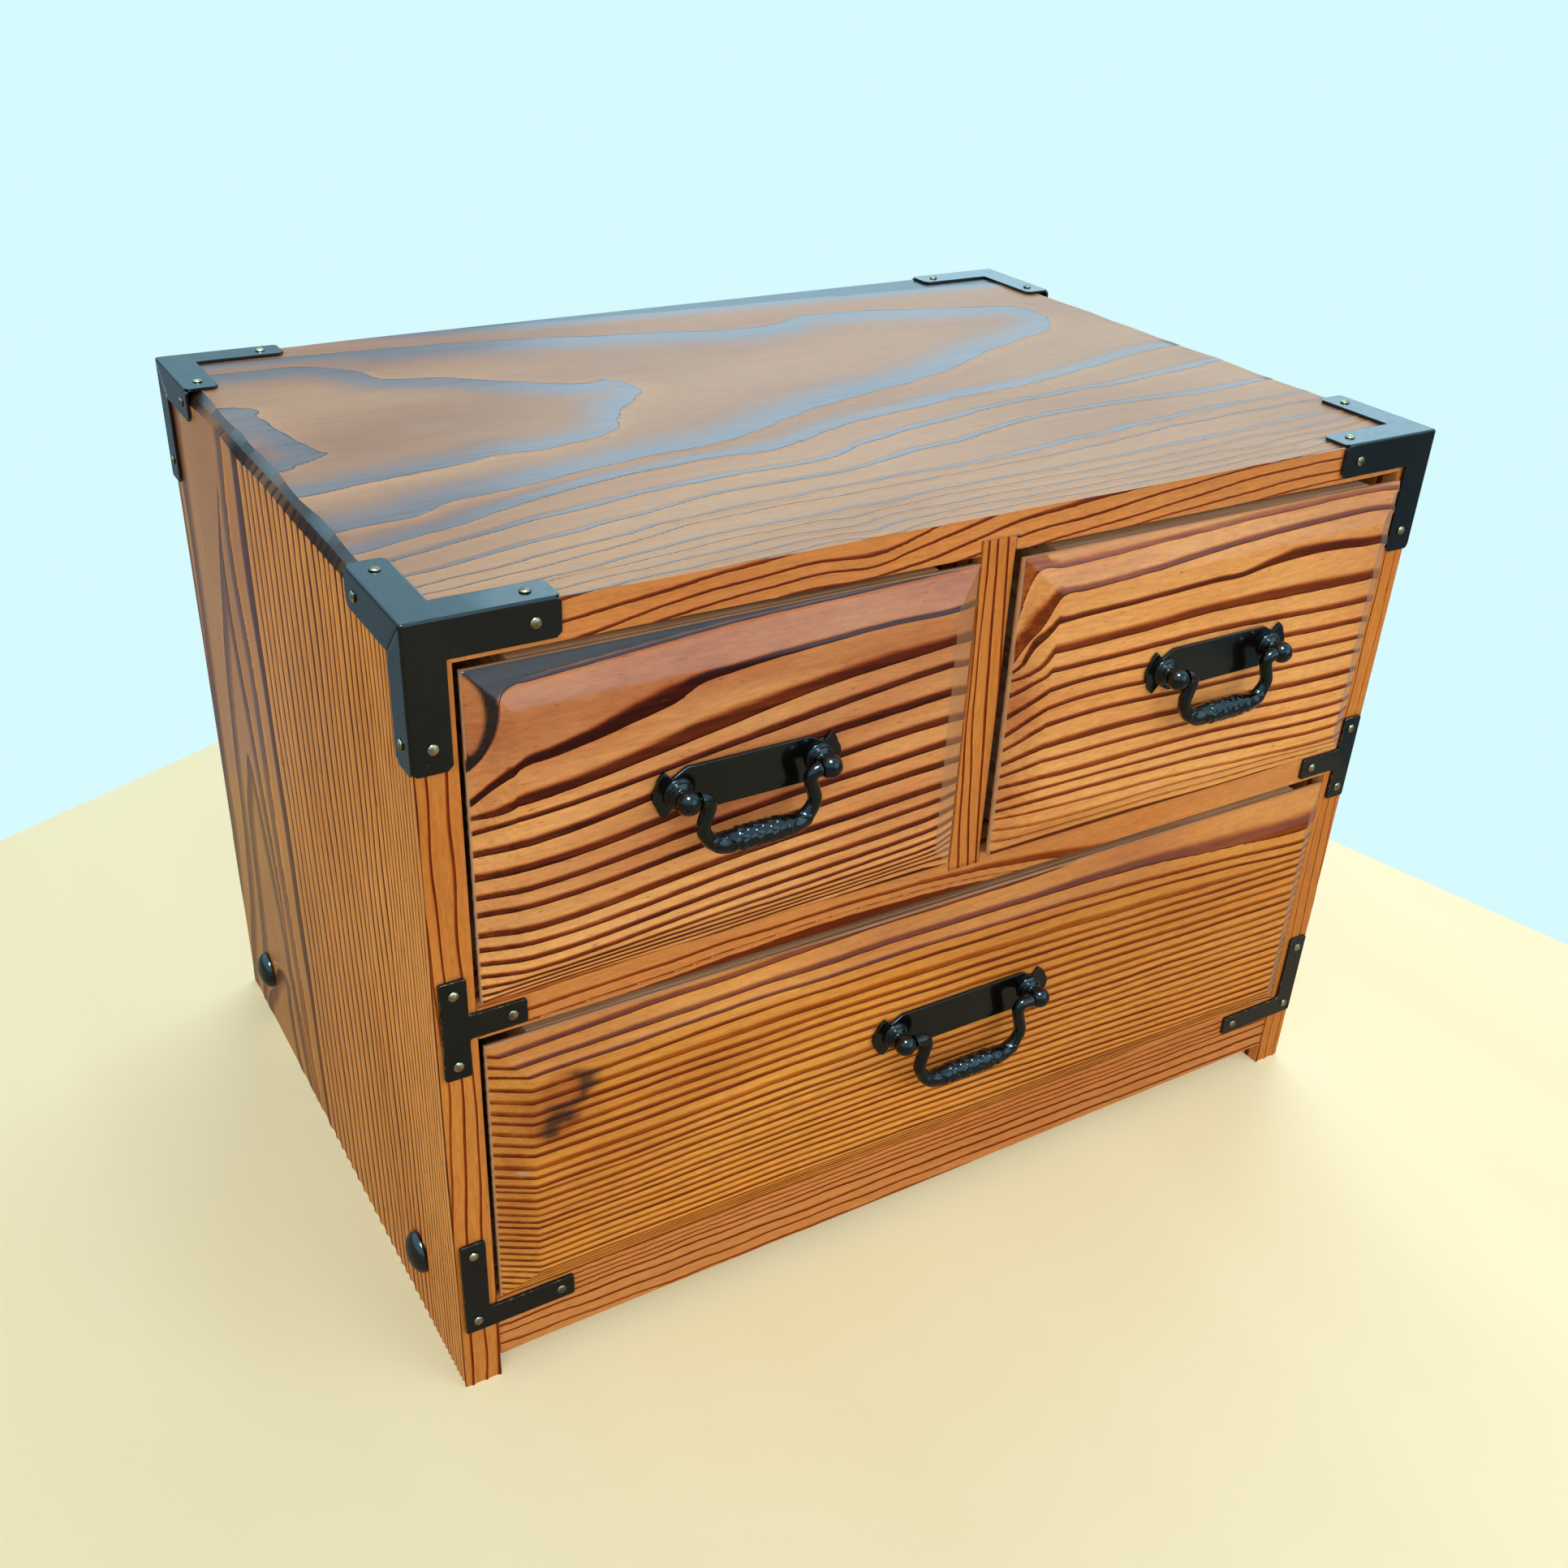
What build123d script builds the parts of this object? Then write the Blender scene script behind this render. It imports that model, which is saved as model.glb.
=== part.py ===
from build123d import *
import os

# Small tabletop tansu chest in brushed cedar: two drawers side by side over one wide
# drawer, black sheet-metal corner mounts held by brass nails, and black bail handles.
# Millimetres. X runs to the right, Y to the back and Z up. The origin lies on the
# floor, under the middle of the whole depth with the handles counted in.

# ---------------------------------------------------------------- carcase sizes
width = 350.0               # outside of the two side boards
depth = 240.0               # front edge to back edge of the side boards
height = 260.0              # floor to the upper face of the top board
board = 12.0                # thickness of sides, top, shelf, divider and bottom
arris = 2.5                 # chamfer along the two mitred top edges
foot = 9.0                  # side boards reaching below the bottom rail
rail_height = 25.0          # bottom front rail
rail_thickness = 12.0
lower_bay_height = 100.0    # clear height over the bottom board
shelf_housing = 4.0         # shelf ends let into the side boards
shelf_housing_stop = 15.0   # the housing starts this far behind the front edge
divider_housing_top = 4.5   # divider let into the top board
divider_housing_shelf = 3.5  # divider let into the shelf
back_thickness = 6.0        # back panel in its rebate
back_rebate = 6.0           # width of the rebate in sides and top

# ---------------------------------------------------------------- drawer sizes
side_gap = 1.0              # between a drawer face and the bay, each side
bottom_gap = 0.5            # under a drawer face
upper_top_gap = 2.0         # over the two upper faces
lower_top_gap = 2.8         # over the wide lower face
face_proud = 1.0            # edge of a face in front of the carcase
face_edge = 2.0             # thickness of a face at its edge
face_raise = 6.0            # raised field in front of that edge
bevel_width = 11.0          # sloping border round the field
right_drawer_pull = 2.0     # the right drawer stands this far open at rest
box_inset = 13.0            # drawer box narrower than its face, each side
box_board = 9.0             # drawer box front, sides and back
box_lap = 5.0               # box sides let into the ends of the box front
box_side_drop = 3.0         # box sides lower than the box front
box_panel = 4.0             # drawer bottom
panel_groove = 3.0          # depth of the groove that holds the drawer bottom
panel_lift = 5.0            # groove above the lower edge of the box sides
running_gap = 0.3           # drawer box over its shelf
closing_gap = 0.5           # box back to back panel when pushed home
guide_height = 12.0         # strips that steer a drawer box from both sides
guide_clearance = 0.5
guide_setback = 20.0        # guides start this far behind the front edge

# ---------------------------------------------------------------- handle sizes
upper_pitch = 44.0          # post to post on the two upper drawers
lower_pitch = 54.0          # post to post on the wide drawer
upper_plate_end = 7.5       # plate beyond each post
lower_plate_end = 8.3
upper_bail_drop = 15.2      # pivot to the middle of the grip
lower_bail_drop = 18.6
upper_arm_inset = 7.2       # arm bend measured inward from the post
lower_arm_inset = 9.3
upper_handle_lift = 5.5     # posts above the middle of the face
lower_handle_lift = 8.0
plate_height = 14.0
plate_thickness = 1.0
plate_shoulder = 2.8        # shoulder, inward from the post
plate_notch = 1.5           # narrowest point, outward from the post
plate_waist = 9.0           # plate height at the notch
plate_spike = 3.8           # tip of the fan, outward from the post
plate_scallop = 0.5         # bulge of the edge between fan tip and nose
nose_start = 1.2            # the nose begins this far from the plate's end
nose_width = 6.4
post_reach = 6.0            # plate to the middle of the ball
post_flange_radius = 4.5
post_flange_rim = 0.8       # heights over the plate: flange rim, flange, collar rim, collar
post_flange = 1.3
post_collar_rim = 2.0
post_collar = 2.4
post_collar_radius = 3.7
post_neck_radius = 2.3
ball_radius = 3.3
pin_radius = 1.0            # bail pins turning in the balls
pin_length = 2.6
pin_clearance = 0.06
bail_end_gap = 0.3          # bail arm to ball
arm_radius = 2.0
arm_bulge = 3.1             # the arm's widest point, outward from its bend
arm_bulge_height = 0.62     # share of the drop at which the arm is widest
corner_tuck = 0.7           # lower corner of the bail, inward from the arm's bend
arm_bend_radius = 2.4
bulge_bend_radius = 4.5
corner_bend_radius = 4.5
grip_radius = 3.25
grip_end_radius = 2.1
grip_end_tuck = 2.3         # barrel ends, inward from the arm's bend
screw_radius = 1.6          # machine screws from inside the drawer
screw_clearance = 0.15
screw_bite = 3.6            # screw thread inside the post
screw_head_radius = 3.2
screw_head = 2.0
screw_head_crown = 2.2      # flat middle of the pan head
screw_head_rim = 1.0

# ---------------------------------------------------------------- metal mounts
sheet = 1.0                 # thickness of corner mounts and flat plates
corner_arm = 40.0           # arms of the three-way corner mounts
corner_width = 10.0
corner_clip = 1.5           # chamfer on the ends of the arms
corner_bend = 0.9           # outer radius of the folds
seam = 0.3                  # open mitre on the side face of a corner mount
seam_end = 0.4              # the mitre stops this far from both corners
plate_width = 8.0           # T and L plates
plate_inset = 1.2           # plate edge to carcase edge
plate_round = 1.0
t_arm = 25.0                # T plate across the shelf joint
t_stem = 33.0
l_arm = 36.0                # L plate round the bottom corner
l_stem = 36.0
l_plate_floor = 24.2        # lower edge of the L plate above the floor
nail_head_radius = 1.6
nail_head = 0.9
nail_shank_radius = 0.6
nail_length = 8.0
nail_clearance = 0.05
nail_edge = 4.5             # nail to the end of a T or L arm
corner_nail_along = 33.0    # nail to the corner, along the arm
corner_nail_across = 5.0    # nail to the carcase edge
cap_radius = 7.0            # domed covers over the side screws
cap_height = 4.5
side_screw_inset = 35.0     # side screws from the front and back edges
side_screw_radius = 2.0
side_screw_length = 32.0
side_screw_head_radius = 3.8
side_screw_head = 2.6
pin_nail_head_radius = 1.4  # small nails round the back panel
pin_nail_head = 0.6
pin_nail_shank_radius = 0.5
pin_nail_length = 14.0
pin_nail_point = 1.5
pin_nail_spacing = 70.0

# ---------------------------------------------------------------- worked out
front_reach = face_proud + face_raise + plate_thickness + post_reach + ball_radius + right_drawer_pull
back_reach = sheet + nail_head
front = front_reach - (front_reach + depth + back_reach) / 2
back = front + depth
inner_x = width / 2 - board
ceiling = height - board
rail_top = foot + rail_height
shelf_low = rail_top + lower_bay_height
shelf_top = shelf_low + board
divider_x = board / 2
panel_front = back - back_thickness


# ---------------------------------------------------------------- drawing helpers
def along_y(outline, y_from, y_to):
    """Solid of an (x, z) outline carried from one depth to another."""
    wire = Polyline(*[(x, y_from, z) for x, z in outline], close=True)
    return extrude(make_face(wire), amount=y_to - y_from, dir=(0, 1, 0))


def along_x(outline, x_from, x_to):
    """Solid of a (y, z) outline carried from one side to another."""
    wire = Polyline(*[(x_from, y, z) for y, z in outline], close=True)
    return extrude(make_face(wire), amount=x_to - x_from, dir=(1, 0, 0))


def rectangle(a0, a1, b0, b1):
    """Corner points of an upright rectangle."""
    return [(a0, b0), (a1, b0), (a1, b1), (a0, b1)]


def rod(at, direction, radius, length):
    """Round bar or hole tool that starts at a point."""
    bar = Cylinder(radius, length, align=(Align.CENTER, Align.CENTER, Align.MIN))
    return Plane(origin=at, z_dir=direction) * bar


def turned(points, at, direction):
    """Solid turned from (radius, height) points, set with its foot at a point."""
    outline = Polyline(*[(r, 0, h) for r, h in points], close=True)
    return Plane(origin=at, z_dir=direction) * revolve(make_face(outline), Axis.Z)


def mirrored(part):
    """The same piece on the other side of the chest."""
    return mirror(part, about=Plane.YZ)


def front_to_back(part):
    """The same piece at the other end of the depth."""
    return mirror(part, about=Plane.XZ.offset(-(front + back) / 2))


# ---------------------------------------------------------------- nails and screws
def domed_nail(at, direction):
    """Brass nail whose head lies on a point and whose shank follows a direction."""
    dome = TangentArc((0, 0, -nail_head), (nail_head_radius, 0, 0), tangent=(1, 0, 0))
    shank = Polyline((nail_head_radius, 0, 0), (nail_shank_radius, 0, 0),
                     (nail_shank_radius, 0, nail_length - 2 * nail_shank_radius),
                     (0, 0, nail_length), (0, 0, -nail_head))
    shape = revolve(make_face(dome + shank), Axis.Z)
    return Plane(origin=at, z_dir=direction) * shape


def nail_hole(at, direction):
    """Hole that a domed nail has driven."""
    return rod(at, direction, nail_shank_radius + nail_clearance, nail_length + nail_clearance)


def corner_nails(x_side, y_side):
    """Places and directions of the six nails in one corner mount."""
    x_edge = x_side * width / 2
    y_edge = front if y_side < 0 else back
    x_far = x_edge - x_side * corner_nail_along
    x_near = x_edge - x_side * corner_nail_across
    y_far = y_edge - y_side * corner_nail_along
    y_near = y_edge - y_side * corner_nail_across
    z_far = height - corner_nail_along
    z_near = height - corner_nail_across
    top = height + sheet
    face = y_edge + y_side * sheet
    side = x_edge + x_side * sheet
    return [((x_far, y_near, top), (0, 0, -1)), ((x_near, y_far, top), (0, 0, -1)),
            ((x_far, face, z_near), (0, -y_side, 0)), ((x_near, face, z_far), (0, -y_side, 0)),
            ((side, y_far, z_near), (-x_side, 0, 0)), ((side, y_near, z_far), (-x_side, 0, 0))]


stem_x = width / 2 - plate_inset - plate_width / 2
t_middle = (shelf_low + shelf_top) / 2
t_tip_x = width / 2 - plate_inset - t_arm
l_tip_x = width / 2 - plate_inset - l_arm
l_top = l_plate_floor + l_stem


def plate_nails(points):
    """Nails through a pair of flat plates on the front, left and right."""
    on_plate = front - sheet
    return [((side * x, on_plate, z), (0, 1, 0)) for side in (-1, 1) for x, z in points]


t_nails = plate_nails([(stem_x, t_middle + t_stem / 2 - nail_edge),
                       (stem_x, t_middle - t_stem / 2 + nail_edge),
                       (t_tip_x + nail_edge, t_middle)])
l_nails = plate_nails([(stem_x, l_top - nail_edge), (stem_x, l_plate_floor + nail_edge),
                       (l_tip_x + nail_edge, l_plate_floor + plate_width / 2)])
all_corner_nails = [n for x in (-1, 1) for y in (-1, 1) for n in corner_nails(x, y)]

side_screw_places = [((side * width / 2, y, rail_top - board / 2), (-side, 0, 0))
                     for side in (-1, 1)
                     for y in (front + side_screw_inset, back - side_screw_inset)]

panel_low = rail_top - board
panel_high = ceiling + back_rebate
pin_nail_places = [((i * pin_nail_spacing, back, z), (0, -1, 0))
                   for i in (-1.5, -0.5, 0.5, 1.5)
                   for z in (rail_top - board / 2, t_middle, ceiling + back_rebate / 2)]


def countersunk_screw(at, direction):
    """Wood screw with its flat head flush with the surface it is driven into."""
    points = [(0, 0), (side_screw_head_radius, 0), (side_screw_radius, side_screw_head),
              (side_screw_radius, side_screw_length - 2 * side_screw_radius),
              (0, side_screw_length)]
    return turned(points, at, direction)


def screw_cap(at, direction):
    """Domed cover seated on the side board over a screw head."""
    dome = TangentArc((0, 0, -cap_height), (cap_radius, 0, 0), tangent=(1, 0, 0))
    base = Polyline((cap_radius, 0, 0), (0, 0, 0), (0, 0, -cap_height))
    shape = revolve(make_face(dome + base), Axis.Z)
    return Plane(origin=at, z_dir=direction) * shape


def pin_nail(at, direction):
    """Flat-headed nail that holds the back panel."""
    points = [(0, -pin_nail_head), (pin_nail_head_radius, -pin_nail_head),
              (pin_nail_head_radius, 0), (pin_nail_shank_radius, 0),
              (pin_nail_shank_radius, pin_nail_length - pin_nail_point), (0, pin_nail_length)]
    return turned(points, at, direction)


carcase_holes = [nail_hole(at, way) for at, way in all_corner_nails + t_nails + l_nails]
carcase_holes += [countersunk_screw(at, way) for at, way in side_screw_places]
carcase_holes += [rod(at, way, pin_nail_shank_radius, pin_nail_length)
                  for at, way in pin_nail_places]


# ---------------------------------------------------------------- carcase
def side_board():
    """Left side: mitred top edge, rebate at the back, stopped housing for the shelf."""
    outer = -width / 2
    profile = [(outer, 0), (outer + board, 0), (outer + board, height - board),
               (outer + arris / 2, height - arris / 2), (outer, height - arris)]
    piece = along_y(profile, front, back)
    rebate = rectangle(outer + board - back_rebate, outer + board, panel_low, panel_high)
    housing = rectangle(outer + board - shelf_housing, outer + board, shelf_low, shelf_top)
    piece -= along_y(rebate, panel_front, back)
    piece -= along_y(housing, front + shelf_housing_stop, panel_front)
    return piece - carcase_holes


def top_board():
    """Top: mitred ends, rebate for the back panel, housing for the divider."""
    outer = width / 2
    right = [(outer - board, ceiling), (outer - arris / 2, height - arris / 2),
             (outer - arris, height)]
    profile = right + [(-x, z) for x, z in reversed(right)]
    piece = along_y(profile, front, back)
    span = inner_x + back_rebate
    piece -= along_y(rectangle(-span, span, ceiling, panel_high), panel_front, back)
    housing = rectangle(-divider_x, divider_x, ceiling, ceiling + divider_housing_top)
    piece -= along_y(housing, front, panel_front)
    return piece - carcase_holes


def mid_shelf():
    """Shelf between the two tiers, with stopped tongues and a housing on top."""
    piece = along_y(rectangle(-inner_x, inner_x, shelf_low, shelf_top), front, panel_front)
    reach = inner_x + shelf_housing
    piece += along_y(rectangle(-reach, reach, shelf_low, shelf_top),
                     front + shelf_housing_stop, panel_front)
    housing = rectangle(-divider_x, divider_x, shelf_top - divider_housing_shelf, shelf_top)
    piece -= along_y(housing, front, panel_front)
    return piece - carcase_holes


def divider():
    """Upright between the upper drawers, let into top and shelf."""
    outline = rectangle(-divider_x, divider_x, shelf_top - divider_housing_shelf,
                        ceiling + divider_housing_top)
    return along_y(outline, front, panel_front)


def bottom_board():
    outline = rectangle(-inner_x, inner_x, rail_top - board, rail_top)
    return along_y(outline, front + rail_thickness, panel_front) - carcase_holes


def bottom_rail():
    outline = rectangle(-inner_x, inner_x, foot, rail_top)
    return along_y(outline, front, front + rail_thickness) - carcase_holes


def back_panel():
    span = inner_x + back_rebate
    piece = along_y(rectangle(-span, span, panel_low, panel_high), panel_front, back)
    return piece - carcase_holes


def guide(wall_x, toward, floor):
    """Strip beside a drawer box, fixed to a wall and standing on a floor."""
    guide_width = side_gap + box_inset - guide_clearance
    x_from, x_to = sorted((wall_x, wall_x + toward * guide_width))
    outline = rectangle(x_from, x_to, floor, floor + guide_height)
    return along_y(outline, front + guide_setback, panel_front)


# ---------------------------------------------------------------- metal mounts
def arm_sheet(along, across, plane):
    """L-shaped sheet with clipped arm ends, drawn from its outer corner."""
    outline = [(0, 0), (along - corner_clip, 0), (along, corner_clip),
               (along, across - corner_clip), (along - corner_clip, across), (across, across),
               (across, along - corner_clip), (across - corner_clip, along),
               (corner_clip, along), (0, along - corner_clip)]
    return extrude(plane * make_face(Polyline(*outline, close=True)), amount=sheet)


def corner_mount():
    """Front left corner: one sheet folded over the top, the front and the side."""
    corner = Vector(-width / 2 - sheet, front - sheet, height + sheet)
    long = corner_arm + sheet
    wide = corner_width + sheet
    over_top = arm_sheet(long, wide, Plane(corner - Vector(0, 0, sheet), (1, 0, 0), (0, 0, 1)))
    on_front = arm_sheet(long, wide, Plane(corner, (1, 0, 0), (0, 1, 0)))
    on_side = arm_sheet(long, wide, Plane(corner, (0, 0, -1), (1, 0, 0)))
    piece = over_top + on_front + on_side
    bends = [e for e in piece.edges() if touches_two(e, corner)]
    piece = fillet(bends, corner_bend)
    middle = corner + Vector(0, wide / 2, -wide / 2)
    seam_length = wide * 2 ** 0.5 - 2 * seam_end
    return piece - Pos(*middle) * Rot(X=-45) * Box(2 * sheet, seam_length, seam)


def touches_two(edge, corner):
    """True for an edge that lies on two of the three outer faces at the corner."""
    at = edge.center()
    on = [abs(at.X - corner.X) < 1e-6, abs(at.Y - corner.Y) < 1e-6, abs(at.Z - corner.Z) < 1e-6]
    return sum(on) == 2


def flat_plate(outline):
    """Stamped plate on the front, rounded at its corners."""
    sketch = fillet(outline.vertices(), plate_round)
    plane = Plane(origin=(0, front, 0), x_dir=(1, 0, 0), z_dir=(0, -1, 0))
    return extrude(plane * sketch, amount=sheet)


def bar(x_from, x_to, z_from, z_to):
    """Rectangle on the front plane for building up plate outlines."""
    return Pos((x_from + x_to) / 2, (z_from + z_to) / 2) * Rectangle(x_to - x_from, z_to - z_from)


def t_plate():
    """Left T plate over the joint of shelf and side."""
    left = -width / 2 + plate_inset
    stem = bar(left, left + plate_width, t_middle - t_stem / 2, t_middle + t_stem / 2)
    arm = bar(left, left + t_arm, t_middle - plate_width / 2, t_middle + plate_width / 2)
    return flat_plate(stem + arm)


def l_plate():
    """Left L plate over the joint of rail and side."""
    left = -width / 2 + plate_inset
    stem = bar(left, left + plate_width, l_plate_floor, l_top)
    arm = bar(left, left + l_arm, l_plate_floor, l_plate_floor + plate_width)
    return flat_plate(stem + arm)


# ---------------------------------------------------------------- handles
def backplate(middle_x, middle_z, pitch, end, surface):
    """Long plate with clipped shoulders, a waist at each post and scalloped ends."""
    post = pitch / 2
    shoulder = post - plate_shoulder
    notch = post + plate_notch
    spike = post + plate_spike
    tip = post + end
    high = plate_height / 2
    low = plate_waist / 2
    nose_x = tip - nose_start
    nose_z = nose_width / 2
    top = Polyline((-notch, low), (-shoulder, high), (shoulder, high), (notch, low))
    upper = Line((notch, low), (spike, high))
    side = SagittaArc((spike, high), (nose_x, nose_z), -plate_scallop)
    nose = ThreePointArc((nose_x, nose_z), (tip, 0), (nose_x, -nose_z))
    half = upper + side + nose + mirror(side, about=Plane.XZ) + mirror(upper, about=Plane.XZ)
    edges = top + half + mirror(half, about=Plane.YZ) + mirror(top, about=Plane.XZ)
    plane = Plane(origin=(middle_x, surface, middle_z), x_dir=(1, 0, 0), z_dir=(0, -1, 0))
    return extrude(plane * make_face(edges), amount=plate_thickness)


def handle_post(x, z, seat, inward):
    """Turned post with flange, collar, neck and ball, bored for a screw and a bail pin."""
    ball_start = post_reach - (ball_radius ** 2 - post_neck_radius ** 2) ** 0.5
    foot_part = Polyline((0, 0, 0), (post_flange_radius, 0, 0),
                         (post_flange_radius, 0, post_flange_rim),
                         (post_collar_radius, 0, post_flange),
                         (post_collar_radius, 0, post_collar_rim),
                         (post_neck_radius, 0, post_collar),
                         (post_neck_radius, 0, ball_start))
    ball = ThreePointArc((post_neck_radius, 0, ball_start), (ball_radius, 0, post_reach),
                         (0, 0, post_reach + ball_radius))
    axis = Line((0, 0, post_reach + ball_radius), (0, 0, 0))
    shape = revolve(make_face(foot_part + ball + axis), Axis.Z)
    shape = Plane(origin=(x, seat, z), z_dir=(0, -1, 0)) * shape
    shape -= rod((x, seat, z), (0, -1, 0), screw_radius, screw_bite)
    pivot = (x + inward * (ball_radius + bail_end_gap), seat - post_reach, z)
    shape -= rod(pivot, (-inward, 0, 0), pin_radius + pin_clearance,
                 pin_length + bail_end_gap + pin_clearance)
    return shape


def handle_screw(x, z, inside, seat):
    """Pan-headed machine screw from inside the drawer into a post."""
    length = inside - seat + screw_bite
    points = [(0, -screw_head), (screw_head_crown, -screw_head),
              (screw_head_radius, -screw_head_rim), (screw_head_radius, 0),
              (screw_radius, 0), (screw_radius, length), (0, length)]
    return turned(points, (x, inside, z), (0, -1, 0))


def bail(middle_x, pivot_y, pivot_z, pitch, drop, arm_inset):
    """Hanging handle: pins, S-shaped arms and a barrel grip."""
    end_x = pitch / 2 - ball_radius - bail_end_gap
    arm_x = pitch / 2 - arm_inset
    half = [(end_x, 0), (arm_x, 0), (arm_x + arm_bulge, -drop * arm_bulge_height),
            (arm_x - corner_tuck, -drop)]
    points = half + [(-x, z) for x, z in reversed(half)]
    bends = [arm_bend_radius, bulge_bend_radius, corner_bend_radius]
    path = FilletPolyline(*[(x, 0, z) for x, z in points], radius=bends + bends[::-1])
    arms = sweep(Plane(origin=path @ 0, z_dir=path % 0) * Circle(arm_radius), path=path)
    grip_x = arm_x - grip_end_tuck
    barrel = ThreePointArc((-grip_x, 0, grip_end_radius), (0, 0, grip_radius),
                           (grip_x, 0, grip_end_radius))
    closing = Polyline((grip_x, 0, grip_end_radius), (grip_x, 0, 0), (-grip_x, 0, 0),
                       (-grip_x, 0, grip_end_radius))
    grip = Pos(0, 0, -drop) * revolve(make_face(barrel + closing), Axis.X)
    shape = arms + grip
    for side in (-1, 1):
        shape += rod((side * end_x, 0, 0), (side, 0, 0), pin_radius, pin_length)
    return Pos(middle_x, pivot_y, pivot_z) * shape


# ---------------------------------------------------------------- drawers
def raised_face(x_from, x_to, z_from, z_to, face_front):
    """Face board: thin edge, bevelled border and flat raised field."""
    middle = Pos((x_from + x_to) / 2, face_front, (z_from + z_to) / 2)
    upright = Plane(origin=(0, 0, 0), x_dir=(1, 0, 0), z_dir=(0, -1, 0))
    wide, high = x_to - x_from, z_to - z_from
    edge = upright * Rectangle(wide, high)
    field = Plane(origin=(0, -face_raise, 0), x_dir=(1, 0, 0), z_dir=(0, -1, 0))
    field *= Rectangle(wide - 2 * bevel_width, high - 2 * bevel_width)
    slab = extrude(edge, amount=face_edge, dir=(0, 1, 0))
    return middle * (slab + loft([edge, field]))


def drawer(bay, top_gap, pull, handle):
    """One drawer: face, box, handle plate, posts, screws and bail, keyed by piece."""
    bay_left, bay_right, bay_floor, bay_top = bay
    pitch, plate_end, drop, arm_inset, lift = handle
    x0, x1 = bay_left + side_gap, bay_right - side_gap
    z0, z1 = bay_floor + bottom_gap, bay_top - top_gap
    middle_x, handle_z = (x0 + x1) / 2, (z0 + z1) / 2 + lift
    edge_front = front - face_proud - pull
    box_front_y = edge_front + face_edge
    inside_y = box_front_y + box_board
    box_end = panel_front - closing_gap - pull
    left, right = x0 + box_inset, x1 - box_inset
    low, side_top = bay_floor + running_gap, z1 - box_side_drop
    groove_low = low + panel_lift
    groove_top = groove_low + box_panel
    surface = edge_front - face_raise
    seat = surface - plate_thickness
    posts_x = (middle_x - pitch / 2, middle_x + pitch / 2)

    screw_ways = [rod((x, inside_y, handle_z), (0, -1, 0), screw_radius + screw_clearance,
                      inside_y - seat) for x in posts_x]
    panel = rectangle(left + box_board - panel_groove, right - box_board + panel_groove,
                      groove_low, groove_top)
    bottom = along_y(panel, inside_y - panel_groove, box_end)
    box_front = along_y(rectangle(left, right, low, z1), box_front_y, inside_y)
    lap_from = inside_y - box_lap
    for side_x in (left, right - box_board):
        lap = rectangle(side_x, side_x + box_board, low, side_top)
        box_front -= along_y(lap, lap_from, inside_y)
    box_front = box_front - bottom - screw_ways
    left_side = along_y(rectangle(left, left + box_board, low, side_top), lap_from, box_end)
    right_side = along_y(rectangle(right - box_board, right, low, side_top), lap_from, box_end)
    box_back = along_y(rectangle(left + box_board, right - box_board, groove_top, side_top),
                       box_end - box_board, box_end)
    posts = [handle_post(x, handle_z, seat, 1 if x < middle_x else -1) for x in posts_x]
    screws = [handle_screw(x, handle_z, inside_y, seat) for x in posts_x]
    return {
        "face": raised_face(x0, x1, z0, z1, edge_front) - screw_ways,
        "box_front": box_front,
        "box_left": left_side - bottom,
        "box_right": right_side - bottom,
        "box_back": box_back,
        "box_bottom": bottom,
        "handle_plate": backplate(middle_x, handle_z, pitch, plate_end, surface) - screw_ways,
        "handle_posts": Compound(children=posts),
        "handle_screws": Compound(children=screws),
        "bail": bail(middle_x, seat - post_reach, handle_z, pitch, drop, arm_inset),
    }


# ---------------------------------------------------------------- the whole chest
left_side = side_board()
front_left = corner_mount() - [nail_hole(at, way) for at, way in corner_nails(-1, -1)]
back_left = front_to_back(front_left)
left_t = t_plate() - [nail_hole(at, way) for at, way in t_nails]
left_l = l_plate() - [nail_hole(at, way) for at, way in l_nails]

nodes = {
    "left_side": left_side,
    "right_side": mirrored(left_side),
    "top_board": top_board(),
    "back_panel": back_panel(),
    "mid_shelf": mid_shelf(),
    "drawer_divider": divider(),
    "bottom_board": bottom_board(),
    "bottom_rail": bottom_rail(),
    "guide_left_outer": guide(-inner_x, 1, shelf_top),
    "guide_left_inner": guide(-divider_x, -1, shelf_top),
    "guide_right_inner": guide(divider_x, 1, shelf_top),
    "guide_right_outer": guide(inner_x, -1, shelf_top),
    "guide_lower_left": guide(-inner_x, 1, rail_top),
    "guide_lower_right": guide(inner_x, -1, rail_top),
    "corner_front_left": front_left,
    "corner_front_right": mirrored(front_left),
    "corner_back_left": back_left,
    "corner_back_right": mirrored(back_left),
    "t_plate_left": left_t,
    "t_plate_right": mirrored(left_t),
    "l_plate_left": left_l,
    "l_plate_right": mirrored(left_l),
    "corner_nails": Compound(children=[domed_nail(at, way) for at, way in all_corner_nails]),
    "t_plate_nails": Compound(children=[domed_nail(at, way) for at, way in t_nails]),
    "l_plate_nails": Compound(children=[domed_nail(at, way) for at, way in l_nails]),
    "back_nails": Compound(children=[pin_nail(at, way) for at, way in pin_nail_places]),
    "side_screws": Compound(children=[countersunk_screw(at, way)
                                      for at, way in side_screw_places]),
    "screw_caps": Compound(children=[screw_cap(at, way) for at, way in side_screw_places]),
}

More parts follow.
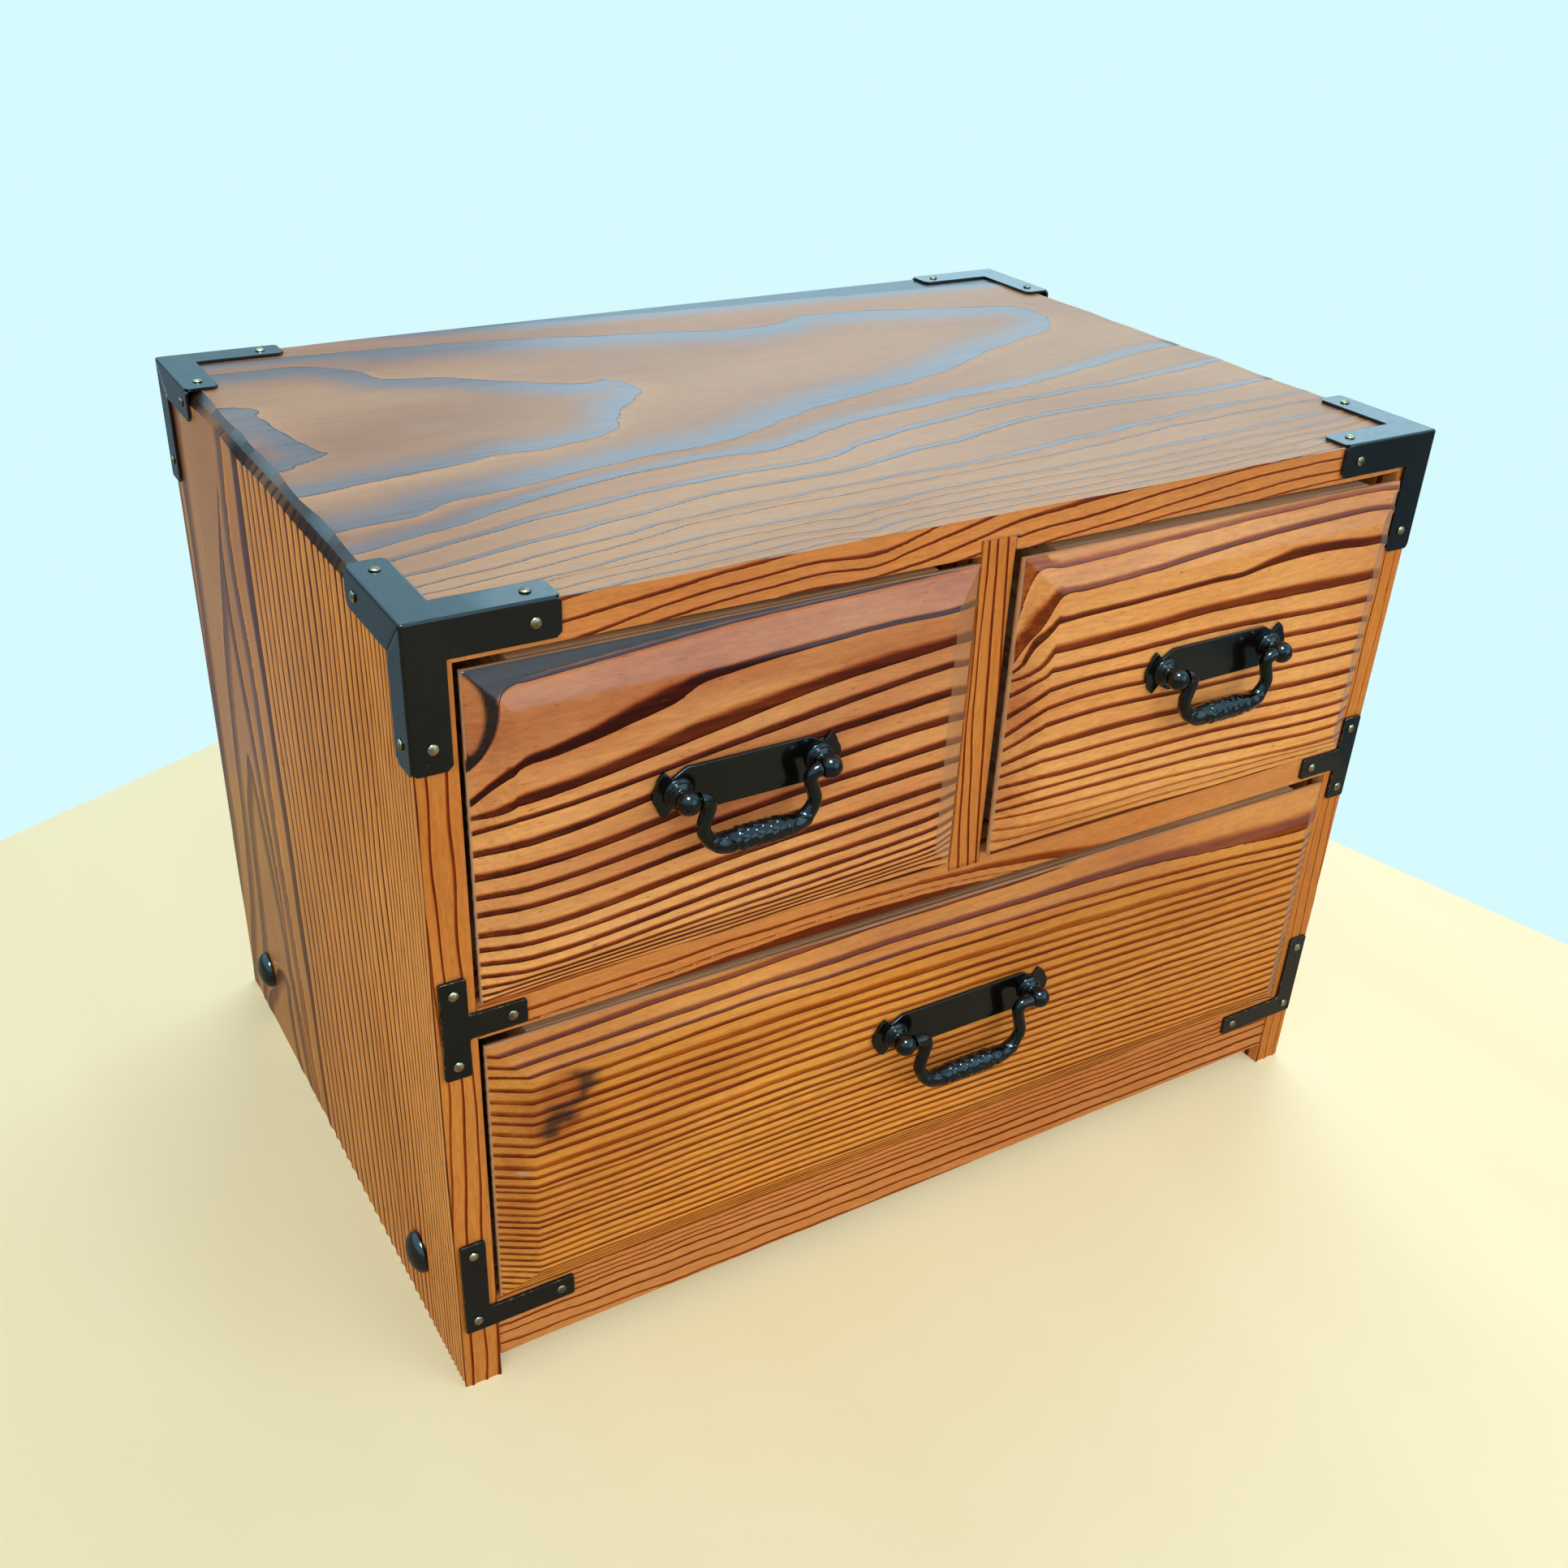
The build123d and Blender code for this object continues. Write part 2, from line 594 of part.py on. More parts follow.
upper_handle = (upper_pitch, upper_plate_end, upper_bail_drop, upper_arm_inset,
                upper_handle_lift)
lower_handle = (lower_pitch, lower_plate_end, lower_bail_drop, lower_arm_inset,
                lower_handle_lift)
left_bay = (-inner_x, -divider_x, shelf_top, ceiling)
right_bay = (divider_x, inner_x, shelf_top, ceiling)
lower_bay = (-inner_x, inner_x, rail_top, shelf_low)
drawers = {
    "left": drawer(left_bay, upper_top_gap, 0.0, upper_handle),
    "right": drawer(right_bay, upper_top_gap, right_drawer_pull, upper_handle),
    "lower": drawer(lower_bay, lower_top_gap, 0.0, lower_handle),
}
for place, pieces in drawers.items():
    for piece, shape in pieces.items():
        nodes[f"{place}_{piece}"] = shape

os.makedirs("parts", exist_ok=True)
for name, shape in nodes.items():
    shape.label = name
    export_step(shape, f"parts/{name}.step")
print(len(nodes), "nodes written")
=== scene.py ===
"""A small tansu chest in brushed cedar with black mounts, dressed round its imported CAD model."""
import math

import bmesh
import bpy
import numpy as np
from mathutils import Matrix, Vector


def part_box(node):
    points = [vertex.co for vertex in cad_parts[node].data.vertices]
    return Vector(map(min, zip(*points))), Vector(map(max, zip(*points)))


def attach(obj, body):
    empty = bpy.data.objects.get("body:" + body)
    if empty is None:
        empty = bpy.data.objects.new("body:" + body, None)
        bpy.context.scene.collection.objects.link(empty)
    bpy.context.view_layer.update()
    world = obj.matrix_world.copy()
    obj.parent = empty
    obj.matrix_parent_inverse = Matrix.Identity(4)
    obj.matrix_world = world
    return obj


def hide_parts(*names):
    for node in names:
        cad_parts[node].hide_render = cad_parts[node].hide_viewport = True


MM = 0.001
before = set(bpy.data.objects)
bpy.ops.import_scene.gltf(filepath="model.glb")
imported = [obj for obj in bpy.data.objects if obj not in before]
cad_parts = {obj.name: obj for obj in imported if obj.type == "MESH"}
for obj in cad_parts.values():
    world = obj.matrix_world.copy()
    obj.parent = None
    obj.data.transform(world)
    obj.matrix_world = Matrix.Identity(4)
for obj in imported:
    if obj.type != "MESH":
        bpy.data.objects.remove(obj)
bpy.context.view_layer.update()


def edges(node):
    """Lowest and highest corner of a CAD node in millimetres."""
    low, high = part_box(node)
    return np.array(low) / MM, np.array(high) / MM


# ------------------------------------------------------------------ chest sizes, millimetres
carcase_low = np.minimum(edges("left_side")[0], edges("right_side")[0])
carcase_high = np.maximum(edges("top_board")[1], edges("right_side")[1])
LEFT, FRONT = carcase_low[0], carcase_low[1]
RIGHT, BACK, TOP = carcase_high[0], carcase_high[1], carcase_high[2]
BOARD = 12.0
CEILING = TOP - BOARD
CENTRE = FRONT + 120.0          # middle of the depth
PANEL_FRONT, PANEL_LOW = edges("back_panel")[0][1:]
REBATE = 6.0
RAIL_LOW, RAIL_TOP = 9.0, 34.0
ARRIS = 4.0                     # width of the slope where top and sides meet
(*_, SHELF_LOW), (*_, SHELF_TOP) = edges("mid_shelf")
(*_, DIVIDER_LOW), (*_, DIVIDER_TOP) = edges("drawer_divider")
HALF_DIVIDER = 6.0
BEVEL, RAISE, FACE_EDGE = 11.0, 6.0, 2.0      # border, field and rim of the drawer faces
BEVEL_ROWS = 22
PLATE = 8.0                     # width of the T and L plates
SHEET = 1.0                     # thickness of all mounts
MOUNT_ARM, MOUNT_WIDE, MOUNT_CLIP, MOUNT_BEND = 41.0, 11.0, 1.5, 0.9
SEAM = 0.11                     # half the gap of the mitred seam in a mount


# ------------------------------------------------------------------ figure of the wood
SHORT_OF_NEXT = 0.9999          # the highest part of a ring before the next one starts


def waves(u, v, seed, length_u, length_v, count=9):
    """Soft seeded undulation of about unit height."""
    rng = np.random.default_rng(seed)
    total = np.zeros_like(u, float)
    for _ in range(count):
        a, b = rng.uniform(-1, 1, 2)
        total += np.sin(2 * np.pi * (a * u / length_u + b * v / length_v)
                        + rng.uniform(0, 2 * np.pi))
    return total / math.sqrt(count / 2)


def flowing(points, u):
    """Smooth curve v(u) through a few points, level with its end slopes outside them."""
    points = np.array(sorted(points), float)
    x, y = points[:, 0], points[:, 1]
    slope = np.diff(y) / np.diff(x)
    tangent = np.concatenate([slope[:1], (slope[1:] + slope[:-1]) / 2, slope[-1:]])
    i = np.clip(np.searchsorted(x, u) - 1, 0, len(x) - 2)
    h = x[i + 1] - x[i]
    t = (u - x[i]) / h
    s = np.clip(t, 0, 1)
    inner = ((2 * s**3 - 3 * s**2 + 1) * y[i] + (s**3 - 2 * s**2 + s) * h * tangent[i]
             + (-2 * s**3 + 3 * s**2) * y[i + 1] + (s**3 - s**2) * h * tangent[i + 1])
    return inner + (t - s) * h * np.where(t > 0.5, tangent[i + 1], tangent[i])


def between_lines(lines, u, v, first=0):
    """Ring number at (u, v): whole on each line, rising with v; strength and width of its
    band, and how far apart the lines are there.

    Each line is (points, strength, width): the dark band that ends at the line. Its width is
    a share of the spacing, or millimetres given at places along the line."""
    levels = np.stack([flowing(points, u) for points, _, _ in lines])
    levels = np.maximum.accumulate(levels, axis=0)
    before = levels[0] - np.maximum(levels[1] - levels[0], 2.0)
    after = levels[-1] + np.maximum(levels[-1] - levels[-2], 2.0)
    levels = np.concatenate([[before], levels, [after]])
    index = np.clip((v[None] >= levels).sum(0), 1, len(levels) - 1)
    columns = np.arange(len(u))
    low, high = levels[index - 1, columns], levels[index, columns]
    spacing = np.maximum(high - low, 0.05)
    part = np.clip((v - low) / spacing, 0, SHORT_OF_NEXT)
    strength = np.array([1.0] + [s for _, s, _ in lines] + [1.0])
    width = np.array([0.3] + [w if np.isscalar(w) else 0.0 for _, _, w in lines] + [0.3])[index]
    for k, (_, _, wide) in enumerate(lines):
        if not np.isscalar(wide):
            at, size = zip(*wide)
            share = np.clip(np.interp(u, at, size) / spacing, 0.05, 0.95)
            width = np.where(index == k + 1, share, width)
    return first + index + part, strength[index], width, spacing


def dense(points, count=8):
    """Closed outline through control points, rounded between them."""
    p = np.array(points, float)
    before, after, later = np.roll(p, 1, 0), np.roll(p, -1, 0), np.roll(p, -2, 0)
    t = np.linspace(0, 1, count, endpoint=False)[None, :, None]
    a, b, c, d = (q[:, None, :] for q in (before, p, after, later))
    curve = 0.5 * (2 * b + (c - a) * t + (2 * a - 5 * b + 4 * c - d) * t**2
                   + (3 * b - a - 3 * c + d) * t**3)
    return curve.reshape(-1, 2)


def distance_inside(outline, u, v):
    """Distance to a closed outline, and whether each point lies within it."""
    start, end = outline, np.roll(outline, -1, 0)
    near = np.full(len(u), 1e9)
    inside = np.zeros(len(u), bool)
    for (ax, ay), (bx, by) in zip(start, end):
        dx, dy = bx - ax, by - ay
        t = np.clip(((u - ax) * dx + (v - ay) * dy) / max(dx * dx + dy * dy, 1e-9), 0, 1)
        near = np.minimum(near, (u - ax - t * dx) ** 2 + (v - ay - t * dy) ** 2)
        if ay != by:
            inside ^= ((ay > v) != (by > v)) & (u < dx * (v - ay) / (by - ay) + ax)
    return np.sqrt(near), inside


def between_flames(flames, u, v):
    """Ring number among nested flames, whole on each and rising outward; share of the spacing
    that its dark band takes, and the spacing. Each flame is (closed outline, band width)."""
    beyond = 15.0               # how far the ring outside the last flame reaches
    ring = spacing = wide = np.zeros(len(u))
    nearer, within = np.full(len(u), 20.0), np.zeros(len(u), bool)
    for k, (outline, width) in enumerate(flames):
        gap, inside = distance_inside(dense(outline), u, v)
        here, last = inside & ~within, ~inside & (k == len(flames) - 1)
        total = np.maximum(nearer + gap, 1e-6)
        ring = np.where(here, k + np.clip(nearer / total, 0, SHORT_OF_NEXT), ring)
        spacing = np.where(here, total, spacing)
        wide = np.where(here, width, wide)
        ring = np.where(last, k + 1 + gap / (gap + beyond), ring)
        spacing = np.where(last, gap + beyond, spacing)
        nearer, within = gap, within | inside
    return ring, np.clip(wide / np.maximum(spacing, 1e-6), 0.05, 0.95), spacing


def band(ring, width, spacing):
    """Height of the hard late wood at a ring number: rises softly, falls within a short way."""
    fall = 0.75                 # millimetres
    part = ring - np.floor(ring)
    rise = np.clip((part - 1 + width) / (0.65 * width), 0, 1)
    drop = 1 - np.clip(part * spacing / np.minimum(fall, 0.4 * spacing), 0, 1)
    t = np.maximum(rise, drop)
    return t * t * (3 - 2 * t)


def hardness(ring, strength, width, spacing):
    """How far the late wood stands at a place, from none to one."""
    return band(ring, width, spacing) * np.clip(strength * 1.2, 0, 1)


def straight(count, low, high, lean, seed, reach):
    """Fairly even lines with seeded spacing, as (points, strength, width)."""
    rng = np.random.default_rng(seed)
    steps = rng.uniform(0.6, 1.4, count)
    at = low + (high - low) * np.cumsum(steps) / steps.sum()
    start, end = reach
    return [([(start, v - lean), ((start + end) / 2, v + rng.uniform(-0.5, 0.5)),
              (end, v + lean)], rng.uniform(0.6, 1.0), rng.uniform(0.25, 0.4)) for v in at]


# ------------------------------------------------------------------ meshes
def linked(name, data):
    """A new object in the scene."""
    piece = bpy.data.objects.new(name, data)
    bpy.context.scene.collection.objects.link(piece)
    return piece


def set_values(mesh, domain, layers):
    """Adds float attributes, {name: values}, to the points or the corners of a mesh."""
    for key, values in (layers or {}).items():
        mesh.attributes.new(key, "FLOAT", domain).data.foreach_set(
            "value", np.asarray(values, np.float32))


def publish(name, vertices, faces, material, body, nodes, corners=None, points=None):
    """Makes the object of a mesh in millimetres and places it on its body."""
    mesh = bpy.data.meshes.new(name)
    mesh.from_pydata((np.asarray(vertices) * MM).tolist(), [], faces)
    set_values(mesh, "CORNER", corners)
    set_values(mesh, "POINT", points)
    mesh.polygons.foreach_set("use_smooth", [True] * len(mesh.polygons))
    mesh.materials.append(material)
    mesh.update()
    piece = linked(name, mesh)
    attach(piece, body)
    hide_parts(*nodes)
    return piece


def joined(shells):
    """One vertex array, face list and attribute from (vertices, faces, values) shells."""
    vertices, faces, values, start = [], [], [], 0
    for v, f, a in shells:
        vertices.append(v)
        faces += [tuple(i + start for i in face) for face in f]
        values.append(a)
        start += len(v)
    return np.concatenate(vertices), faces, np.concatenate(values)


def around_cells(grid):
    """The values at the four corners of each cell of a grid, in turn."""
    return np.stack([grid[:-1, :-1], grid[:-1, 1:], grid[1:, 1:], grid[1:, :-1]], -1)


def corner_vertices(faces):
    """Vertex index of every face corner, face by face."""
    return [i for face in faces for i in face]


def smooth_by_angle(piece, degrees):
    """Hard shading only at edges sharper than an angle."""
    piece.data.set_sharp_from_angle(angle=math.radians(degrees))


AXES = {"x": (1, 2, 0), "z": (0, 1, 2)}      # section axes, then the board's own axis
CHART = ("ring", "strength", "band", "spacing")
PLAIN = (0.2, 0.3, 0.3, 3.0)                 # chart of a face without figure


class Board:
    """A board drawn as a section carried along the grain, its sides fine where they show.

    sides: (start, end, divisions, figure) round the section, anticlockwise. A figure takes
    points (n, 3) and gives the values of CHART there; it is None for plain sides."""

    def __init__(self, axis, sides, stations, depth, soften=0.25):
        self.b, self.c, self.a = AXES[axis]
        self.stations = np.asarray(stations, float)
        self.sides, self.depth = sides, depth
        path, self.spans = [], []
        for start, end, divisions, _ in sides:
            start, end = np.array(start, float), np.array(end, float)
            length = np.linalg.norm(end - start)
            t = np.linspace(0, 1, divisions + 1) if np.isscalar(divisions) else divisions
            if len(t) > 3:
                beside = soften * 1.2 / length
                t = np.unique(np.round(
                    np.concatenate([[0, beside], t[1:-1], [1 - beside, 1]]), 7))
            self.spans.append((len(path), len(path) + len(t) - 1))
            path += [start + (end - start) * k for k in t[:-1]]
        self.count = len(path)
        path = np.array(path)
        shape = (len(self.stations), self.count)
        self.v = np.zeros(shape + (3,))
        self.v[..., self.a] = self.stations[:, None]
        self.v[..., self.b] = path[None, :, 0]
        self.v[..., self.c] = path[None, :, 1]
        self.soften = soften

    def relief(self):
        """Sinks the soft wood between the rings and eases the arrises."""
        rows = len(self.stations)
        shift = np.zeros_like(self.v)
        self.charts = []
        for (start, end, _, figure), (i0, i1) in zip(self.sides, self.spans):
            index = np.arange(i0, i1 + 1) % self.count
            points = self.v[:, index].reshape(-1, 3)
            if figure is None:
                self.charts.append([np.full(len(points), value) for value in PLAIN])
                continue
            self.charts.append(figure(points))
            sink = self.depth * (1 - hardness(*self.charts[-1]))
            tangent = np.array(end, float) - np.array(start, float)
            tangent /= np.linalg.norm(tangent)
            inward = np.zeros(3)
            inward[self.b], inward[self.c] = -tangent[1], tangent[0]
            weight = np.ones(len(index))
            weight[0] = weight[-1] = 0.75
            amount = sink.reshape(rows, -1) * weight + np.where(weight < 1, self.soften * 0.35, 0)
            shift[:, index] += amount[..., None] * inward
        self.v += shift

    def mesh(self):
        """Vertices, faces and the figure's corner values."""
        rows, count = len(self.stations), self.count
        number = np.arange(rows * count).reshape(rows, count)
        faces, values = [], [[] for _ in PLAIN]
        for chart, (i0, i1) in zip(self.charts, self.spans):
            index = np.arange(i0, i1 + 1) % count
            faces += around_cells(number[:, index]).reshape(-1, 4).tolist()
            for kept, value in zip(values, chart):
                kept.append(around_cells(value.reshape(rows, -1)).ravel())
        faces += [number[0, ::-1].tolist(), number[-1].tolist()]
        for kept, value in zip(values, PLAIN):
            kept.append(np.full(2 * count, value))
        corners = {key: np.concatenate(kept) for key, kept in zip(CHART, values)}
        return self.v.reshape(-1, 3), faces, corners


def even(low, high, step):
    """Stations from low to high, about one step apart."""
    return np.linspace(low, high, max(2, int(round((high - low) / step)) + 1))


# ------------------------------------------------------------------ shader helpers
class Nodes:
    """Short way of writing a material's node tree."""

    def __init__(self, name):
        self.material = bpy.data.materials.new(name)
        self.material.use_nodes = True
        self.tree = self.material.node_tree
        self.shader = self.tree.nodes["Principled BSDF"]

    def add(self, kind, settings=None, **inputs):
        """A node with its settings and inputs: i0 is the first one, _ stands for a space."""
        node = self.tree.nodes.new(kind)
        for key, value in (settings or {}).items():
            setattr(node, key, value)
        for key, value in inputs.items():
            self.put(node.inputs[int(key[1:]) if key[0] == "i" and key[1:].isdigit()
                                 else key.replace("_", " ")], value)
        return node

    def put(self, socket, value):
        """Links a socket or a node to an input, or sets the input's value."""
        if isinstance(value, bpy.types.NodeSocket):
            self.tree.links.new(value, socket)
        elif isinstance(value, bpy.types.Node):
            self.tree.links.new(value.outputs[0], socket)
        else:
            if socket.type == "RGBA" and len(value) == 3:
                value = (*value, 1.0)
            socket.default_value = value

    def math(self, operation, a, b=0.0, clamp=False):
        return self.add("ShaderNodeMath", {"operation": operation, "use_clamp": clamp},
                        i0=a, i1=b).outputs[0]

    def attribute(self, name):
        return self.add("ShaderNodeAttribute", {"attribute_name": name}).outputs["Fac"]

    def plus(self, a, b, clamp=False):
        return self.math("ADD", a, b, clamp)

    def minus(self, a, b):
        return self.math("SUBTRACT", a, b)

    def times(self, a, b, clamp=False):
        return self.math("MULTIPLY", a, b, clamp)

    def ramp(self, value, low, high, to_low=0.0, to_high=1.0, kind="SMOOTHSTEP"):
        """Eased step from to_low to to_high while the value goes from low to high."""
        return self.add("ShaderNodeMapRange", {"interpolation_type": kind}, Value=value,
                        From_Min=low, From_Max=high, To_Min=to_low,
                        To_Max=to_high).outputs["Result"]

    def slope(self, value, low, high, to_low=0.0, to_high=1.0):
        """The same, but straight."""
        return self.ramp(value, low, high, to_low, to_high, "LINEAR")

    def noise(self, stretch, scale, detail, roughness, distortion=0.0):
        """Noise in object space, its coordinates scaled by stretch."""
        here = self.add("ShaderNodeTexCoord").outputs["Object"]
        there = self.add("ShaderNodeMapping", Vector=here, Scale=stretch).outputs["Vector"]
        return self.add("ShaderNodeTexNoise", Vector=there, Scale=scale, Detail=detail,
                        Roughness=roughness, Distortion=distortion).outputs["Fac"]

    def mix(self, factor, a, b, kind="MIX"):
        node = self.add("ShaderNodeMix", {"data_type": "RGBA", "blend_type": kind})
        self.put(node.inputs["Factor"], factor)
        self.put(node.inputs["A"], a)
        self.put(node.inputs["B"], b)
        return node.outputs["Result"]

    def colours(self, value, stops):
        node = self.add("ShaderNodeValToRGB", Fac=value)
        ramp = node.color_ramp
        while len(ramp.elements) < len(stops):
            ramp.elements.new(0.5)
        for element, (at, colour) in zip(ramp.elements, stops):
            element.position, element.color = at, (*colour, 1.0)
        return node.outputs["Color"]

    def bump(self, height, strength, distance):
        return self.add("ShaderNodeBump", Height=height, Strength=strength,
                        Distance=distance).outputs["Normal"]

    def finish(self, **inputs):
        for key, value in inputs.items():
            self.put(self.shader.inputs[key.replace("_", " ")], value)
        return self.material


def rgb(red, green, blue):
    """Linear colour of an 8-bit one."""
    return tuple(((c / 255 + 0.055) / 1.055) ** 2.4 if c > 10 else c / 255 / 12.92
                 for c in (red, green, blue))


# ------------------------------------------------------------------ materials
EVENLY = (1, 1, 1)


def along(grain, fine):
    """Mapping scales that draw a pattern out along the grain."""
    return {"x": (fine, 1, 1), "y": (1, fine, 1), "z": (1, 1, fine)}[grain]


def cedar(name, grain, soft, warm, dark, deep, rough=(0.5, 0.38), coat=(0.0, 0.0),
          specular=0.12, ruddy=0.3, onset=0.5, streaky=0.2, hard=0.76,
          line=0.28, reach=1.0, mottle=0.13):
    """Scorched and brushed cedar: colours run from soft early wood to deep late wood.

    Attributes: ring, strength and band draw the figure; heart reddens, stain darkens, raw bares
    and polish varnishes the wood; on the right bevels of the drawer faces raw lays a painted
    sheen.
    rough and coat are the roughness and the varnish of soft and of hard wood. onset is the part of
    a band over which it darkens, streaky how much its depth changes along the grain, hard how dark
    it gets, line how much darker over the reach, in millimetres, before its end (darker late wood,
    and partly a painted shadow where the ridge steps down), mottle the contrast of its flecks."""
    n = Nodes(name)
    fleck = n.noise(along(grain, 0.2), 900, 3, 0.7)
    fibre = n.noise(along(grain, 0.035), 2600, 4, 0.65)
    streak = n.noise(along(grain, 0.05), 420, 3, 0.6)
    cloud = n.noise(along(grain, 0.35), 34, 3, 0.55)
    wide_cloud = n.noise(along(grain, 0.5), 11, 2, 0.5)
    pore = n.noise(along(grain, 0.22), 1100, 2, 0.5)
    part = n.math("FRACT", n.attribute("ring"))
    start = n.minus(1.0, n.attribute("band"))
    late = n.ramp(n.slope(part, start, 1.0), 0.0, onset)
    # the last stretch before each band's end is darkened more: darker late wood, and partly a
    # painted shadow where the ridge steps down
    to_end = n.times(n.minus(1.0, part), n.attribute("spacing"))
    late = n.plus(n.times(late, hard), n.ramp(to_end, 0.1, reach, line, 0.0))
    uneven = n.slope(streak, 0.3, 0.7, 1 - streaky, 1 + 0.5 * streaky)
    shade = n.times(n.times(late, n.attribute("strength")), uneven, True)
    tint = shade
    for pattern, low, high, least, most in (
            (fibre, 0.3, 0.75, -0.05, 0.12), (streak, 0.45, 0.75, 0.0, 0.10),
            (cloud, 0.35, 0.75, -0.03, 0.10)):
        tint = n.plus(tint, n.slope(pattern, low, high, least, most), True)
    colour = n.colours(tint, [(0.0, soft), (0.3, warm), (0.62, dark), (0.95, deep)])
    red = n.plus(n.attribute("heart"), n.ramp(wide_cloud, 0.42, 0.66, 0.0, ruddy), True)
    red = n.times(red, n.slope(cloud, 0.3, 0.65, 0.7, 1.1), True)
    colour = n.mix(red, colour, n.mix(1.0, colour, (0.52, 0.35, 0.38), "MULTIPLY"))
    value = n.slope(cloud, 0.25, 0.75, 0.91, 1.09)
    value = n.times(value, n.slope(fibre, 0.25, 0.75, 0.80, 1.16))
    value = n.times(value, n.ramp(part, 0.0, 0.2, 1.12, 1.0))
    value = n.times(value, n.slope(fleck, 0.3, 0.7, 1 - mottle, 1 + mottle))
    tone = n.add("ShaderNodeHueSaturation", Color=colour, Value=value)
    specks = n.ramp(pore, 0.68, 0.76, 0.0, 0.5)
    tone = n.mix(specks, tone, dark)
    # pale bared wood, and on the right bevels of the drawer faces a painted sheen
    tone = n.mix(n.attribute("raw"), tone, n.mix(streak, rgb(166, 122, 88), rgb(226, 192, 156)))
    stain = n.times(n.attribute("stain"), n.slope(streak, 0.3, 0.6, 0.95, 1.0))
    tone = n.mix(stain, tone, SCORCH)
    gloss = n.plus(n.slope(shade, 0.0, 0.6, *rough), n.slope(fibre, 0.3, 0.7, -0.05, 0.07))
    height = n.plus(n.times(fibre, 0.6), n.times(streak, 0.5))
    height = n.minus(n.plus(height, n.times(fleck, 0.5)), n.times(specks, 0.8))
    varnish = n.plus(n.attribute("polish"), n.slope(shade, 0.0, 0.6, *coat), True)
    return n.finish(Base_Color=tone, Roughness=gloss, Normal=n.bump(height, 0.35, 0.00035),
                    Coat_Weight=varnish, Coat_Roughness=0.22, Coat_IOR=1.5,
                    Specular_IOR_Level=specular)


def plain_wood(name, grain, pale, brown):
    """Planed, uncoated wood of the drawer boxes and guides."""
    n = Nodes(name)
    fibre = n.noise(along(grain, 0.04), 2200, 4, 0.65)
    figure = n.noise(along(grain, 0.04), 190, 3, 0.6, 0.4)
    cloud = n.noise(EVENLY, 22, 3, 0.5)
    colour = n.mix(n.ramp(figure, 0.35, 0.68), pale, brown)
    value = n.times(n.slope(cloud, 0.3, 0.7, 0.88, 1.08), n.slope(fibre, 0.3, 0.7, 0.88, 1.1))
    tone = n.add("ShaderNodeHueSaturation", Color=colour, Value=value)
    return n.finish(Base_Color=tone, Normal=n.bump(fibre, 0.35, 0.0003),
                    Roughness=n.slope(fibre, 0.3, 0.7, 0.62, 0.78))


def black_iron(name, scale, gloss, chips, coat=(1.0, 1.33), specular=0.25):
    """Black enamel over iron, brown where its edges have rubbed bare. coat: weight and index
    of refraction of the enamel's gloss."""
    n = Nodes(name)
    grain = n.noise(EVENLY, scale, 4, 0.6)
    patch = n.noise(EVENLY, scale * 0.11, 3, 0.55)
    speck = n.noise(EVENLY, scale * 2.3, 2, 0.5)
    rubbed = n.plus(n.times(n.attribute("edge"), 0.5), n.times(grain, 0.9))
    bare = n.ramp(rubbed, 1.06 - chips, 1.16 - chips)
    paint = n.mix(n.ramp(patch, 0.35, 0.7), rgb(7, 8, 7), rgb(15, 15, 13))
    paint = n.mix(n.ramp(speck, 0.71, 0.77, 0.0, 0.35), paint, rgb(120, 116, 104))
    colour = n.mix(bare, paint, n.mix(patch, rgb(158, 128, 84), rgb(104, 80, 54)))
    height = n.plus(grain, n.times(patch, 1.5))
    return n.finish(Base_Color=colour, Metallic=n.times(bare, 0.6),
                    Roughness=n.slope(grain, 0.3, 0.7, gloss - 0.05, gloss + 0.08),
                    Normal=n.bump(height, 0.08, 0.00014), Coat_Weight=coat[0],
                    Coat_Roughness=0.08, Coat_IOR=coat[1], Specular_IOR_Level=specular)


def brass_nail(name):
    """Brass domes, darker where the dome meets the plate."""
    n = Nodes(name)
    grain = n.noise(EVENLY, 1500, 3, 0.6)
    smudge = n.noise(EVENLY, 320, 2, 0.5)
    dark = n.ramp(n.plus(n.attribute("edge"), n.times(smudge, 0.25)), 0.62, 0.9)
    metal = n.mix(n.ramp(smudge, 0.35, 0.7), rgb(214, 194, 154), rgb(132, 110, 80))
    return n.finish(Base_Color=n.mix(dark, metal, rgb(40, 32, 24)),
                    Roughness=n.slope(grain, 0.3, 0.7, 0.2, 0.4),
                    Normal=n.bump(grain, 0.4, 0.00015), Metallic=n.slope(dark, 0, 1, 0.95, 0.4))


def steel(name):
    """Zinc plated screws and small nails."""
    n = Nodes(name)
    grain = n.noise(EVENLY, 900, 3, 0.6)
    colour = n.mix(n.ramp(grain, 0.3, 0.7), rgb(186, 186, 184), rgb(128, 126, 120))
    return n.finish(Base_Color=colour, Metallic=0.95,
                    Roughness=n.slope(grain, 0.3, 0.7, 0.28, 0.46))


CEDAR_LEFT = (rgb(252, 188, 116), rgb(216, 132, 62), rgb(128, 52, 12), rgb(68, 20, 3))
CEDAR_RIGHT = (rgb(252, 184, 108), rgb(216, 132, 58), rgb(148, 64, 12), rgb(92, 34, 5))
CEDAR_LOWER = (rgb(240, 168, 78), rgb(214, 132, 46), rgb(166, 82, 4), rgb(112, 42, 1))
CEDAR_FRAME = (rgb(218, 144, 78), rgb(192, 110, 46), rgb(146, 62, 10), rgb(104, 36, 3))
CEDAR_STILE = (rgb(214, 136, 60), rgb(190, 104, 38), rgb(148, 60, 6), rgb(108, 36, 2))
CEDAR_SIDE = (rgb(244, 170, 96), rgb(214, 132, 62), rgb(152, 66, 8), rgb(108, 38, 2))
